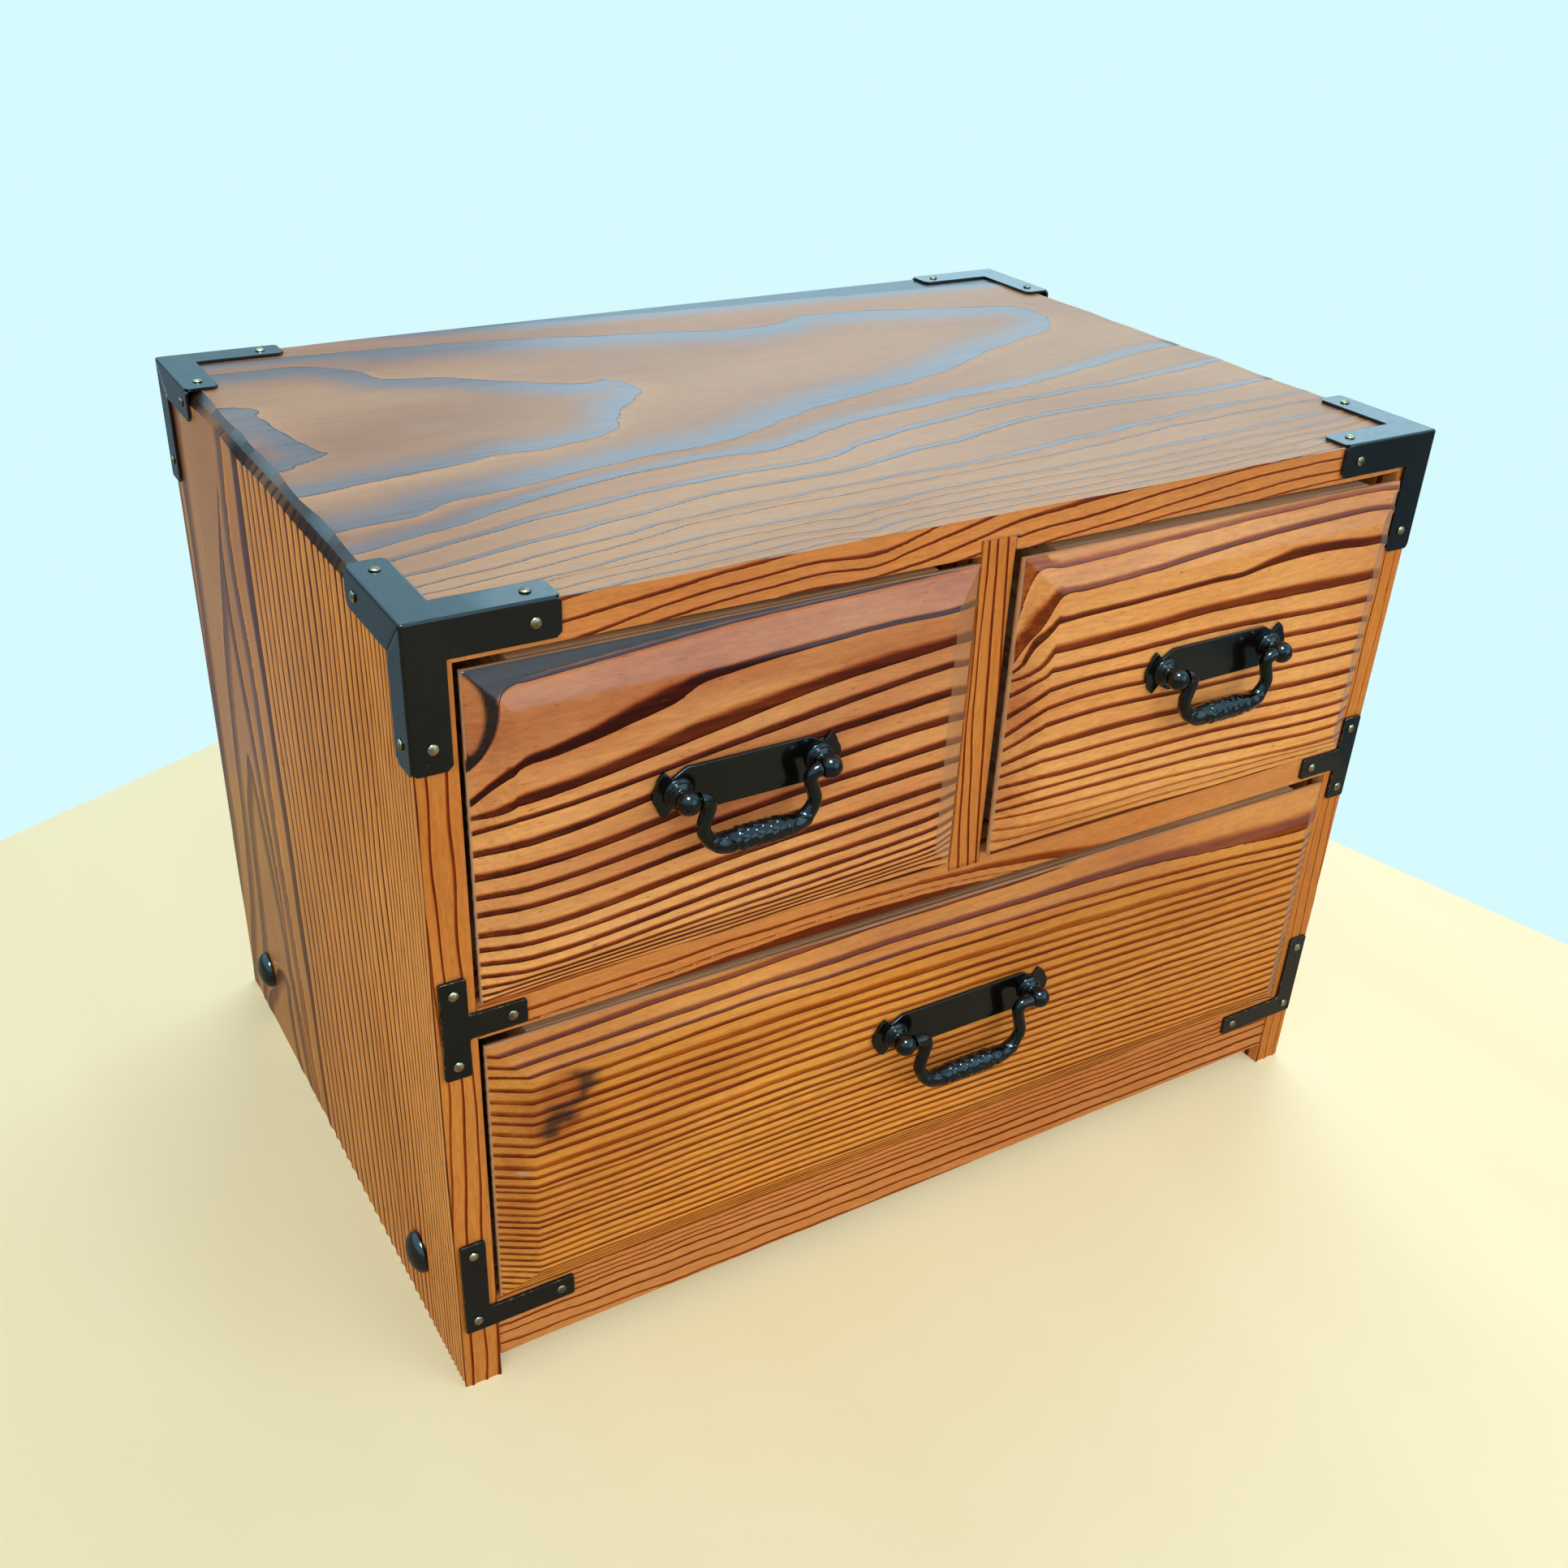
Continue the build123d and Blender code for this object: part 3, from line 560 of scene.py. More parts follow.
# The top's third colour, a lavender grey, is a painted sheen: the pale sky that the flames' late
# wood reflects, put into its colour.
CEDAR_TOP_WITH_SHEEN = (rgb(224, 172, 120), rgb(200, 146, 102), rgb(148, 122, 116), rgb(44, 28, 24))
SCORCH = rgb(42, 30, 27)

left_cedar = cedar("brushed_cedar_left", "x", *CEDAR_LEFT, line=0.24)
right_cedar = cedar("brushed_cedar_right", "x", *CEDAR_RIGHT, hard=0.72)
lower_cedar = cedar("brushed_cedar_lower", "x", *CEDAR_LOWER)
top_cedar = cedar("brushed_cedar_top", "x", *CEDAR_TOP_WITH_SHEEN, rough=(0.42, 0.3), coat=(0.03, 0.55),
                  specular=0.35, ruddy=0.25, onset=0.9, streaky=0.04, hard=0.6, line=0.6,
                  reach=0.8, mottle=0.05)
side_cedar = cedar("brushed_cedar_side", "z", *CEDAR_SIDE, rough=(0.55, 0.4), coat=(0.0, 0.05),
                   specular=0.03, streaky=0.1, mottle=0.06)
frame_cedar = cedar("brushed_cedar_frame", "x", *CEDAR_FRAME)
stile_cedar = cedar("brushed_cedar_stile", "z", *CEDAR_STILE)
box_wood = plain_wood("raw_cedar_x", "x", rgb(206, 170, 128), rgb(158, 114, 74))
box_side_wood = plain_wood("raw_cedar_y", "y", rgb(208, 172, 130), rgb(164, 120, 80))
ply_wood = plain_wood("plywood_sheet", "x", rgb(214, 182, 138), rgb(184, 146, 100))
mount_iron = black_iron("black_iron_sheet", 500, 0.3, 0.10)
handle_iron = black_iron("black_iron_cast", 700, 0.15, -0.04, (0.6, 1.42), 0.25)
cap_iron = black_iron("black_iron_cap", 500, 0.16, -0.3, (0.7, 1.5), 0.5)
nail_brass = brass_nail("brass_nails")
zinc = steel("zinc_steel")


# ------------------------------------------------------------------ figures of the boards
SHIFT = 0.55            # the drawn lines below were taken this far to the left


def moved(lines, narrow=1.0):
    """Lines set over by the common shift; narrow scales the bands given as shares."""
    return [([(u + SHIFT, v) for u, v in points], s, w * narrow if np.isscalar(w) else w)
            for points, s, w in lines]


def on_stations(stations, *rows):
    """Lines that share their stations: (strength, width, then a height at each station). A
    line with fewer heights ends early."""
    return [(list(zip(stations, heights)), strength, width)
            for strength, width, *heights in rows]


def downward(lines):
    """Lines of a front, listed from its top, as rising distances below zero."""
    return [([(u, -v) for u, v in points], s, w) for points, s, w in lines]


LEFT_FACE = moved([
    ([(-162.2, 219), (-160.2, 221.4), (-158.4, 223.9), (-156.6, 227.6), (-155.4, 232.5),
      (-154.2, 238.4), (-151.6, 240.6), (-145.7, 241.2), (-127, 242.2),
      (-112.8, 242.9), (-88.8, 244.3), (-64, 244.8), (-35, 245.4), (-7, 246)], 1.0, 0.06),
    ([(-162.4, 208.4), (-157.8, 212.7), (-153.6, 216.4), (-151.6, 218), (-149.8, 219.4),
      (-142.1, 220.4), (-128.7, 222.7), (-119.5, 224.9), (-110.3, 227.2), (-105.6, 228.7),
      (-101, 231.4), (-91.4, 233), (-76.7, 234.3), (-66.7, 234.8), (-40.4, 236), (-18.7, 235.8),
      (-7, 234)], 1.25,
     [(-162, 5.2), (-153, 4.4), (-150, 3.0), (-148, 3.6), (-137, 4.2), (-128, 5.2), (-119, 6.9),
      (-110, 7.0), (-105, 6.2), (-100, 3.8), (-91, 2.8), (-66, 2.7), (-40, 2.1), (-18, 2.4)]),
    ([(-162, 204.5), (-150, 208.9), (-100, 216), (-60, 222.5), (-19.5, 226.1), (-8, 223)],
     1.0, 0.40)] + on_stations(
         (-162, -150, -90, -19.5, -8),
         (0.95, 0.39, 200, 204.2, 211, 218.9, 215),
         (1.0, 0.39, 193.4, 196.7, 204, 209.8, 206),
         (0.95, 0.39, 186, 188.9, 195.6, 201.1, 197),
         (0.9, 0.39, 180, 182.8, 188.6, 193.3, 189.6),
         (0.95, 0.39, 174.6, 177.2, 182.3, 186.7, 183),
         (0.9, 0.39, 168, 170.2, 175, 179.2, 175.8),
         (0.9, 0.42, 163.4, 165.6, 170, 174.4, 171.4),
         (0.9, 0.42, 159, 160.9, 165.2, 169.2, 166.6),
         (0.85, 0.44, 155, 156.7, 161, 165, 162.8),
         (0.85, 0.44, 151.4, 153.3, 157.6, 161.7, 159.4),
         (0.85, 0.44, 149, 151, 154.6, 158.9, 156.8),
         (0.8, 0.44, 147, 148.6, 151.8, 156.7, 154.6),
         (0.8, 0.44, 145, 146.4, 149.4, 153.7, 152)) + [
    ([(-162, 142.6), (-90, 146.4), (-19.5, 150.6), (-8, 149)], 0.8, 0.44)])

RIGHT_FACE = moved([
    ([(5.5, 224.3), (8, 234.3), (10, 241.3), (20.5, 241.8), (50, 242.7), (90.8, 243.7),
      (113, 244), (151.5, 244.3), (161, 243)], 0.6,
     [(6, 7.5), (10, 5.5), (16, 1.6), (60, 1.4), (110, 2.2), (160, 2.6)]),
    ([(6.8, 213), (10.2, 220), (14, 226.5), (17.6, 234.6), (26.2, 234.9), (51.7, 236),
      (71.3, 237.2), (100, 238.6), (128.9, 239.2), (146.1, 239.4), (161, 236)], 0.9,
     [(6, 7.0), (16, 6.8), (20, 3.6), (60, 2.8), (100, 2.6), (160, 2.4)]),
    ([(6.5, 209.3), (11.1, 216.3), (15.1, 222.1), (18.5, 226.3), (39, 226.8), (80, 227.8),
      (89, 227.6), (100.5, 229.3), (122.7, 229.9), (148.6, 228.5), (161, 224.6)], 1.2,
     [(6, 4.0), (17, 3.4), (21, 2.2), (90, 2.2), (101, 2.8), (112, 4.6), (135, 4.0),
      (160, 3.8)])] + on_stations(
         (6, 17.7, 80, 149.3, 161),
         (1.0, 0.44, 206.6, 216.6, 217.6, 216.1, 212.4),
         (0.95, 0.42, 201.5, 210.3, 210.4, 208, 204),
         (1.0, 0.39, 194, 203.9, 203.4, 200.6, 196.4),
         (0.95, 0.39, 188, 198, 197.2, 194.4, 190.4),
         (0.9, 0.39, 183, 192, 191.4, 188.9, 185),
         (0.95, 0.42, 178, 184.8, 184.2, 181.7, 178),
         (0.9, 0.42, 174, 179.8, 178.9, 176, 172.6),
         (0.85, 0.44, 170, 174, 173.3, 170.6, 167.4),
         (0.85, 0.44, 165, 170, 168.9, 165.9, 163),
         (0.8, 0.47, 161.7, 165.8, 164.6, 161.4, 158.6),
         (0.6, 0.40, 159, 162.2, 159.8, 155.6, 153),
         (0.45, 0.40, 155, 157, 156, 152.6, 150),
         (0.4, 0.40, 151, 152, 151.4, 149)), 0.84)

LOWER_LEFT = [111, 106.7, 103.4, 99, 95, 91, 86, 82.7, 79, 77, 73.6, 70.8, 68, 65.3, 63, 60, 57.7,
              55, 52.3, 49.7, 47, 44.7, 42, 39.6, 37.2, 34.8]
LOWER_RIGHT = [105.4, 102, 98, 94.4, 90.2, 86.8, 82.6, 79.2, 75.6, 72.6, 69.4, 66, 62.6, 59.4, 56,
               52.8, 49.6, 46.4, 43.4, 40.2, 37.2, 34.4, 31.6, 28.8, 26, 23.2]
LOWER_FACE = moved([
    ([(-162, 127.7), (-158.5, 127.6), (-145, 127.9), (-116, 128.8), (-77, 129.4), (-38, 130.5),
      (30, 130.5), (85, 134), (161, 141)], 1.0, 0.4),
    ([(-162, 123.7), (-154, 123.5), (-144, 123.8), (-113.5, 124.2), (-38, 124.8), (50, 124),
      (82, 123), (115, 120.4), (149, 118), (161, 116)], 1.0, 0.36),
    ([(-162, 120.4), (-151, 120.4), (-128.4, 120.8), (-81, 121.4), (0, 120.8), (60, 119),
      (112, 115.6), (149, 112.4), (161, 109.4)], 0.95, 0.34),
    ([(-162, 116), (-150, 115.4), (-81, 117.4), (0, 116.6), (60, 115), (112, 111.8), (149, 108.4),
      (161, 105.4)], 0.95, 0.36)] + [
    ([(-161, low + 0.4), (-150, low), (-60, low + (right - low) * 0.2 + 1.6),
      (20, (low + right) / 2 + 1.8), (149, right), (161, right - 3)], 0.72 + 0.1 * (i % 3), 0.46)
    for i, (low, right) in enumerate(zip(LOWER_LEFT, LOWER_RIGHT))])

LEFT_DROPS = [(147, 3.5), (196, 4.5), (204.5, 5), (208.4, 10.5), (219, 22), (235, 9), (246, 4)]
RIGHT_DROPS = [(146, 3), (190, 7), (202, 9), (207, 11), (210, 17), (213, 22), (224, 18), (246, 0)]
LOWER_DROPS = [(0, 0)]
LEFT_CORNER = [(-162.6, 221), (-159.5, 225.1), (-157.9, 229.4), (-157.2, 233.6),
               (-157.4, 237.6), (-158.4, 241.5), (-162, 246.2), (-163, 250), (-80, 250),
               (-20, 248), (-33, 246.0), (-63.6, 245.4), (-88.3, 244.9), (-112.3, 243.9),
               (-126.6, 243.1), (-145.2, 241.9), (-151.5, 240.5), (-154.2, 238.6),
               (-153.9, 236.5), (-154, 234.5), (-154.6, 231.0), (-155.8, 227.3),
               (-157.9, 223.4), (-159.7, 221.1), (-162.6, 217.7)]
KNOT_UPPER = [(-139.9, 118.6), (-135, 118), (-130.1, 115.8), (-131.6, 114.1), (-130.2, 111.4),
              (-133.8, 109.8), (-135.3, 106.4), (-140.2, 105.9), (-145.1, 106.2),
              (-147.1, 108.7), (-140.9, 108.3), (-137.3, 109.3), (-137.2, 113), (-137.2, 115.5)]
KNOT_LOWER = [(-145.8, 105.7), (-140.3, 105.5), (-138.2, 103.4), (-137.9, 100.3),
              (-141.8, 100.6), (-143.6, 100.5), (-144, 96.8), (-148.2, 97.3), (-148.8, 101.8)]

TOP_EDGE = moved([
    ([(-175, 254.5), (-136, 258.8), (-122, 260.4)], 0.9, 0.22),
    ([(-175, 249.5), (-136, 252.9), (-110, 255.4), (-83, 258.4), (-60, 260.2)], 1.0, 0.22),
    ([(-150, 244), (-127, 248.3), (-107, 252), (-90, 253.8), (-62, 255.5), (-41, 254.5),
      (-30, 257.4), (-20, 260.4)], 1.0, 0.24),
    ([(-125, 245), (-107, 248.3), (-80, 250.8), (-60, 252), (-41, 251.3), (-30, 253.8),
      (-15, 256.5), (0, 260.2)], 1.0, 0.24),
    ([(-90, 245.5), (-70, 248), (-41, 248.2), (-25, 250), (-10, 252.9), (0, 255.2), (25, 257.9),
      (50, 259.3), (80, 260.6)], 1.0, 0.24),
    ([(-30, 245), (-8, 248.6), (6, 251.5), (35, 253.8), (65, 257), (100, 259.3), (135, 260.2)],
     1.0, 0.22),
    ([(0, 245), (20, 248.4), (45, 250.6), (75, 253.4), (95, 255.6), (130, 256.4), (175, 257)],
     0.9, 0.22),
    ([(30, 246), (55, 248.4), (90, 250.6), (110, 252), (130, 252.2), (175, 253)], 0.8, 0.22),
    ([(60, 244.5), (110, 248.5), (135, 249.3), (175, 250.2)], 0.7, 0.22)])

SHELF_EDGE = moved([
    ([(-165, 144.6), (-100, 146), (-40, 147.5)], 0.5, 0.4),
    ([(-165, 138.4), (-120, 139.6), (-60, 141.2), (0, 139.4), (25, 136.6), (40, 134)], 0.8, 0.26),
    ([(-165, 135), (-110, 136.4), (-50, 138.8), (0, 137), (20, 134.5), (30, 132)], 0.7, 0.22),
    ([(40, 146.6), (60, 144), (68, 139), (73, 134), (80, 130)], 0.5, 0.3)])

RAIL_EDGE = moved(on_stations(
    (-160, 0, 160), (0.55, 0.4, 33.2, 32.0, 29.6), (0.6, 0.4, 31.0, 29.6, 26.8),
    (0.6, 0.4, 29.0, 27.6, 24.6), (0.65, 0.4, 27.0, 25.4, 22.4)) + [
    ([(-160, 24.8), (0, 22.4), (80, 20.6), (160, 19.4)], 0.8, 0.34),
    ([(-160, 21.0), (-100, 20.0), (-60, 18.6), (0, 18.0), (160, 14.6)], 0.85, 0.3),
    ([(-160, 17.6), (-110, 15.2), (-50, 14.4), (0, 13.4), (160, 10.2)], 0.8, 0.26),
    ([(-160, 13.0), (-100, 10.4), (0, 9.0), (100, 6.4)], 0.7, 0.26)])

DIVIDER_EDGE = [
    ([(143, -1.8), (160, -3.2), (190, -4.6), (230, -5.6), (252, -7)], 0.95, 0.28),
    ([(143, 2.0), (170, -0.8), (200, -2.9), (252, -3.6)], 1.0, 0.26),
    ([(143, 5.0), (150, 4.6), (180, 2.8), (220, 0.8), (252, -0.8)], 1.0, 0.26),
    ([(143, 9.0), (200, 6.2), (225, 4.6), (252, 2.9)], 0.95, 0.26)]

LEFT_STILE = [
    ([(0, -176.5), (60, -175.0), (122, -172.5), (160, -174.6), (260, -174.6)], 0.7, 0.24),
    ([(0, -172.4), (20, -172.0), (65, -170.5), (122, -168.5), (160, -171.4), (260, -171.5)],
     0.9, 0.22),
    ([(0, -167.8), (20, -167.4), (65, -166.0), (122, -165.2), (160, -166.4), (260, -166.2)],
     0.85, 0.2)]

TONGUE = [(-260, 72), (-170, 60), (-163, 45), (-160, 30), (-155, 8), (-153, 5), (-158, 1),
          (-165, -2), (-175, -7), (-260, -20)]
FLAME_1 = [(-270, 110), (-175, 97), (-140, 95), (-128, 90), (-118, 80), (-115, 70), (-100, 65),
           (-90, 60), (-70, 45), (-55, 38), (-47, 40), (-40, 26), (-47, 17), (-55, 10), (-62, -2),
           (-70, -12), (-92, -18), (-110, -17), (-120, -20), (-175, -28), (-270, -45)]
FLAME_2 = [(-280, 125), (-175, 110), (-110, 105), (-80, 102), (-50, 97), (-30, 92), (0, 86),
           (20, 80), (40, 80), (60, 87), (90, 83), (110, 77), (140, 70), (148, 65), (150, 50),
           (138, 33), (120, 25), (100, 18), (80, 8), (55, -3), (30, -9), (0, -17), (-30, -30),
           (-50, -35), (-80, -38), (-110, -44), (-135, -48), (-150, -55), (-175, -58),
           (-280, -80)]
FLAME_3 = [(-290, 160), (-100, 124), (0, 114), (100, 108), (200, 96), (300, 60), (320, 0),
           (240, -2), (175, -5), (150, -7), (120, -15), (100, -20), (80, -24), (50, -26),
           (30, -30), (0, -35), (-30, -46), (-60, -46), (-100, -52), (-140, -65), (-175, -75),
           (-290, -110)]
TOP_LINES = [
    ([(-175, -75), (-140, -65), (-100, -52), (-60, -46), (-30, -46), (0, -35), (30, -30),
      (50, -26), (80, -24), (100, -20), (120, -15), (150, -7), (175, -5)], 1.0, 0.34),
    ([(-165, -82), (-130, -73), (-100, -67), (-60, -62), (-20, -60), (0, -52), (30, -45),
      (60, -39), (100, -36), (130, -34), (175, -26)], 1.0, 0.36),
    ([(-165, -93), (-100, -80), (-60, -73), (-20, -72), (0, -67), (30, -62), (60, -55),
      (110, -54), (130, -56), (175, -53)], 1.0, 0.3),
    ([(-165, -100), (-120, -93), (-80, -86), (-40, -84), (0, -82), (15, -83), (60, -78),
      (100, -74), (130, -71), (175, -70)], 1.0, 0.24),
    ([(-165, -105), (-120, -99), (-80, -91), (0, -88), (60, -85), (100, -80), (170, -78)],
     0.95, 0.24),
    ([(-165, -111), (-130, -108), (-80, -100), (-45, -100), (0, -97), (60, -96), (170, -90)],
     1.0, 0.26)] + [
    ([(-175, at - 9), (-110, at - 4), (-52, at), (-42, at - 1.2), (-30, at + 1), (60, at + 2),
      (175, at + 7)], 0.9, 0.3) for at in (-104, -109.5, -114.5, -119, -124)]

SIDE_FLAME_1 = [(-55, 40), (-70, 38), (-83, 22), (-100, 0), (-115, -60), (-40, -60), (-55, 15)]
SIDE_FLAME_2 = [(-70, 133), (-76, 120), (-83, 100), (-92, 40), (-106, 0), (-130, -90),
                (-20, -90), (-40, 10), (-48, 60), (-55, 90), (-62, 120)]
SIDE_FLAME_3 = [(-55, 240), (-66, 215), (-75, 190), (-85, 160), (-92, 120), (-95, 90),
                (-105, 50), (-118, 10), (-150, -120), (0, -120), (-35, 10), (-45, 40), (-47, 60),
                (-48, 90), (-53, 130), (-58, 160), (-63, 190), (-62, 215)]
SIDE_FLAME_4 = [(-50, 330), (-100, 300), (-112, 200), (-118, 120), (-126, 40), (-190, -150),
                (20, -150), (-27, 0), (-33, 50), (-38, 100), (-40, 150), (-42, 180), (-48, 215),
                (-43, 255), (-40, 310)]
# where the side's close lines start at its top, forward of the middle
SIDE_TOP = [-25, -18, -12, -6, 0, 7, 13, 19, 25, 31, 38, 44, 50, 55, 60, 64, 70, 75, 80, 85, 89,
            92, 95, 98, 101, 104, 106.5, 109, 111.5, 114, 116.5]
TOP_FLAMES = [(TONGUE, 20), (FLAME_1, 22), (FLAME_2, 26), (FLAME_3, 13)]
SIDE_FLAMES = [(SIDE_FLAME_1, 8), (SIDE_FLAME_2, 9), (SIDE_FLAME_3, 9), (SIDE_FLAME_4, 10)]
# share of its lean that a side line has at each height
LEAN = [(0, 1.0), (90, 0.75), (180, 0.2), (262, 0.0)]


def side_lean(at):
    """How far a line of the side board comes forward at its foot, less near the edge."""
    return 9.0 * np.clip((118 - at) / 90, 0, 1)


def side_line(at):
    """One long line of the side board, leaning forward lower down."""
    return [(z, at + side_lean(at) * share) for z, share in LEAN], 1.2, 0.52


SIDE_LINES = [([(0, -27), (50, -33), (100, -38), (150, -40), (180, -42), (215, -48), (260, -43)],
               1.0, 0.4)] + [side_line(at) for at in SIDE_TOP]


def top_figure(p):
    """Figure of the top board's upper face: flames behind, long lines in front."""
    x, y = p[:, 0] - SHIFT, p[:, 1] - CENTRE
    x = x + 0.5 * waves(x, y, 11, 26, 9)
    y = y + 0.3 * waves(x, y, 12, 26, 12) + 0.06 * waves(x, y, 13, 7, 5)
    ahead = y < flowing(TOP_LINES[0][0], x)
    ring, strength, width, spacing = between_lines(downward(TOP_LINES), x, -y, first=2)
    rings, wide, apart = between_flames(TOP_FLAMES, x, y)
    outermost = len(TOP_FLAMES) - 1 + SHORT_OF_NEXT
    return (np.where(ahead, ring, np.minimum(rings, outermost)), np.where(ahead, strength, 1.0),
            np.where(ahead, width, wide), np.where(ahead, spacing, apart))


def front_lines(lines, seed, ripple):
    """Figure of a front face from lines listed from its top downward."""
    lines = downward(lines)

    def figure(p):
        x, z = p[:, 0], p[:, 2]
        z = z + ripple * waves(x, z, seed, 24, 9) + 0.4 * ripple * waves(x, z, seed + 1, 5, 4)
        return between_lines(lines, x, -z)
    return figure


def face_lines(place, lines, drops, seed):
    """Figure of a raised face. Its rings are sheets that sink towards the back of the board,
    so the bevels cut them lower: by the drops given for the left end, as (height, drop)
    pairs, and for the right end."""
    low, high = edges(place + "_face")
    heights, lefts = zip(*drops[0])

    def sunk(x, z):
        inset = np.minimum(np.minimum(x - low[0], high[0] - x),
                           np.minimum(z - low[2], high[2] - z))
        depth = 1 - np.clip(inset / BEVEL, 0, 1)
        left = np.interp(z, heights, lefts)
        return z + (left + (drops[1] - left) * (x - low[0]) / (high[0] - low[0])) * depth

    level = [([(u, -float(sunk(u, v))) for u, v in points], s, w) for points, s, w in lines]

    def figure(p):
        x, z = p[:, 0], p[:, 2]
        rise = 0.1 * (waves(x, z, seed, 34, 12) + 0.3 * waves(x, z, seed + 1, 9, 6))
        return between_lines(level, x, -(sunk(x, z) + rise))
    return figure


def upright_lines(lines, seed, ripple):
    """Figure of an upright front from lines given as x against height."""
    def figure(p):
        z, x = p[:, 2], p[:, 0]
        return between_lines(lines, z, x + ripple * waves(z, x, seed, 30, 8))
    return figure


def side_figure(p):
    """Figure of a side board's outer face: flames behind, close lines in front."""
    a, z = -(p[:, 1] - CENTRE), p[:, 2]
    a = a + 0.3 * waves(z, a, 21, 60, 14) + 0.04 * waves(z, a, 22, 16, 6)
    ahead = a > flowing(SIDE_LINES[0][0], z)
    ring, strength, width, spacing = between_lines(SIDE_LINES, z, a, first=2)
    rings, wide, apart = between_flames(SIDE_FLAMES, a, z)
    outside, pitch = rings >= len(SIDE_FLAMES), 7.0     # beyond the flames, even straight lines
    rings = np.where(outside, 4 + (-a - 112) / pitch % 1.0, rings)
    fade = np.clip(0.4 + z / 120, 0.7, 1.0)
    return (np.where(ahead, ring, rings), np.where(ahead, strength * fade, 0.5),
            np.where(ahead, width, np.where(outside, 0.4, wide)),
            np.where(ahead, spacing, np.where(outside, pitch, apart)))


def right_side_figure(p):
    """Outer face of the right side: long, nearly straight lines."""
    y, z = p[:, 1], p[:, 2]
    lines = straight(34, FRONT - 4, BACK + 4, 3.0, 31, (0, 260))
    v = y + 0.4 * waves(z, y, 32, 50, 10)
    return between_lines(lines, z, v)


def any_lines(axis_u, axis_v, spacing, seed):
    """Quiet figure for faces that are hardly seen."""
    def figure(p):
        u, v = p[:, axis_u], p[:, axis_v]
        low, high = v.min() - 2, v.max() + 2
        lines = straight(max(2, int((high - low) / spacing)), low, high, 0.6, seed,
                         (u.min(), u.max()))
        return between_lines(lines, u, v + 0.2 * waves(u, v, seed + 5, 40, 9))
    return figure


# ------------------------------------------------------------------ carcase boards
def with_stops(stations, *stops):
    """Stations with a pair of rows close together at each stop."""
    apart = 0.12
    extra = [s + d for s in stops for d in (-apart / 2, apart / 2)]
    kept = [s for s in stations if all(abs(s - e) > 0.4 for e in extra)]
    return np.array(sorted(kept + extra))


def recess(v, reached):
    """Sets the front of a board back where the divider stands in it."""
    inside = (np.abs(v[..., 0]) < HALF_DIVIDER + 0.01) & (v[..., 1] < FRONT + 2) & reached
    v[..., 1] = np.where(inside, v[..., 1] + 2.5, v[..., 1])


def make_top_board():
    """Top board: mitred ends, arris along both ends, recess for the divider."""
    across = np.concatenate([np.linspace(0, 0.84, 400, endpoint=False),
                             np.linspace(0.84, 1, 130)])       # closer by the front
    sides = [((FRONT, CEILING), (PANEL_FRONT, CEILING), 30, any_lines(0, 1, 9, 41)),
             ((PANEL_FRONT, CEILING), (PANEL_FRONT, CEILING + REBATE), 4, None),
             ((PANEL_FRONT, CEILING + REBATE), (BACK, CEILING + REBATE), 4, None),
             ((BACK, CEILING + REBATE), (BACK, TOP), 10, any_lines(0, 2, 3, 42)),
             ((BACK, TOP), (FRONT, TOP), across, top_figure),
             ((FRONT, TOP), (FRONT, CEILING), 26, front_lines(TOP_EDGE, 43, 0.1))]
    rows = with_stops(even(-1, 1, 0.0135) * (RIGHT - ARRIS), -HALF_DIVIDER, HALF_DIVIDER)
    board = Board("x", sides, rows, depth=0.32)
    v = board.v
    z = v[..., 2]
    reach = np.where(z > TOP - ARRIS / 2, RIGHT - ARRIS + (TOP - z), RIGHT - (TOP - z))
    v[..., 0] *= reach / (RIGHT - ARRIS)
    board.relief()
    # the last row lies halfway down the arris, the one beside it along its ragged upper edge
    for end, beside, sign in ((0, 1, -1), (-1, -2, 1)):
        high = v[end, :, 2] > TOP - ARRIS / 2 - 0.4
        ragged = 0.5 * np.abs(waves(v[end, :, 1], v[end, :, 1], 44, 60, 60, 2)) - 0.3
        v[beside, high, 0] = sign * (RIGHT - ARRIS - 0.3 + ragged[high])
        v[beside, high, 2] = TOP - 0.06 + 0.4 * (v[beside, high, 2] - TOP)
        v[end, high, 0] = sign * (RIGHT - ARRIS / 2)
        v[end, high, 2] = TOP - ARRIS / 2 - 0.1 + 0.03 * (v[end, high, 2] - TOP)
    recess(v, v[..., 2] < DIVIDER_TOP + 0.1)
    vertices, faces, corners = board.mesh()
    piece = publish("top_board_wood", vertices, faces, top_cedar, "carcase", ["top_board"],
                    corners)
    x, y, z = vertices.T
    # a rubbed spot near the left end, and cloudy reddish wood towards the back
    worn = 0.32 * np.exp(-((x + 118) / 6.5) ** 2 - ((y - FRONT - 136) / 4.5) ** 2)
    back = np.clip((y - FRONT - 60) / 160, 0, 1)
    patchy = 0.10 + 0.30 * back + 0.16 * waves(x, y, 46, 150, 70)
    set_values(piece.data, "POINT", {"raw": np.where(z > TOP - 2, worn, 0.0),
                                     "heart": np.clip(patchy, 0, 0.6)})
    darken_arris(piece, vertices, faces, np.zeros(len(vertices)))
    front_material(piece, frame_cedar)


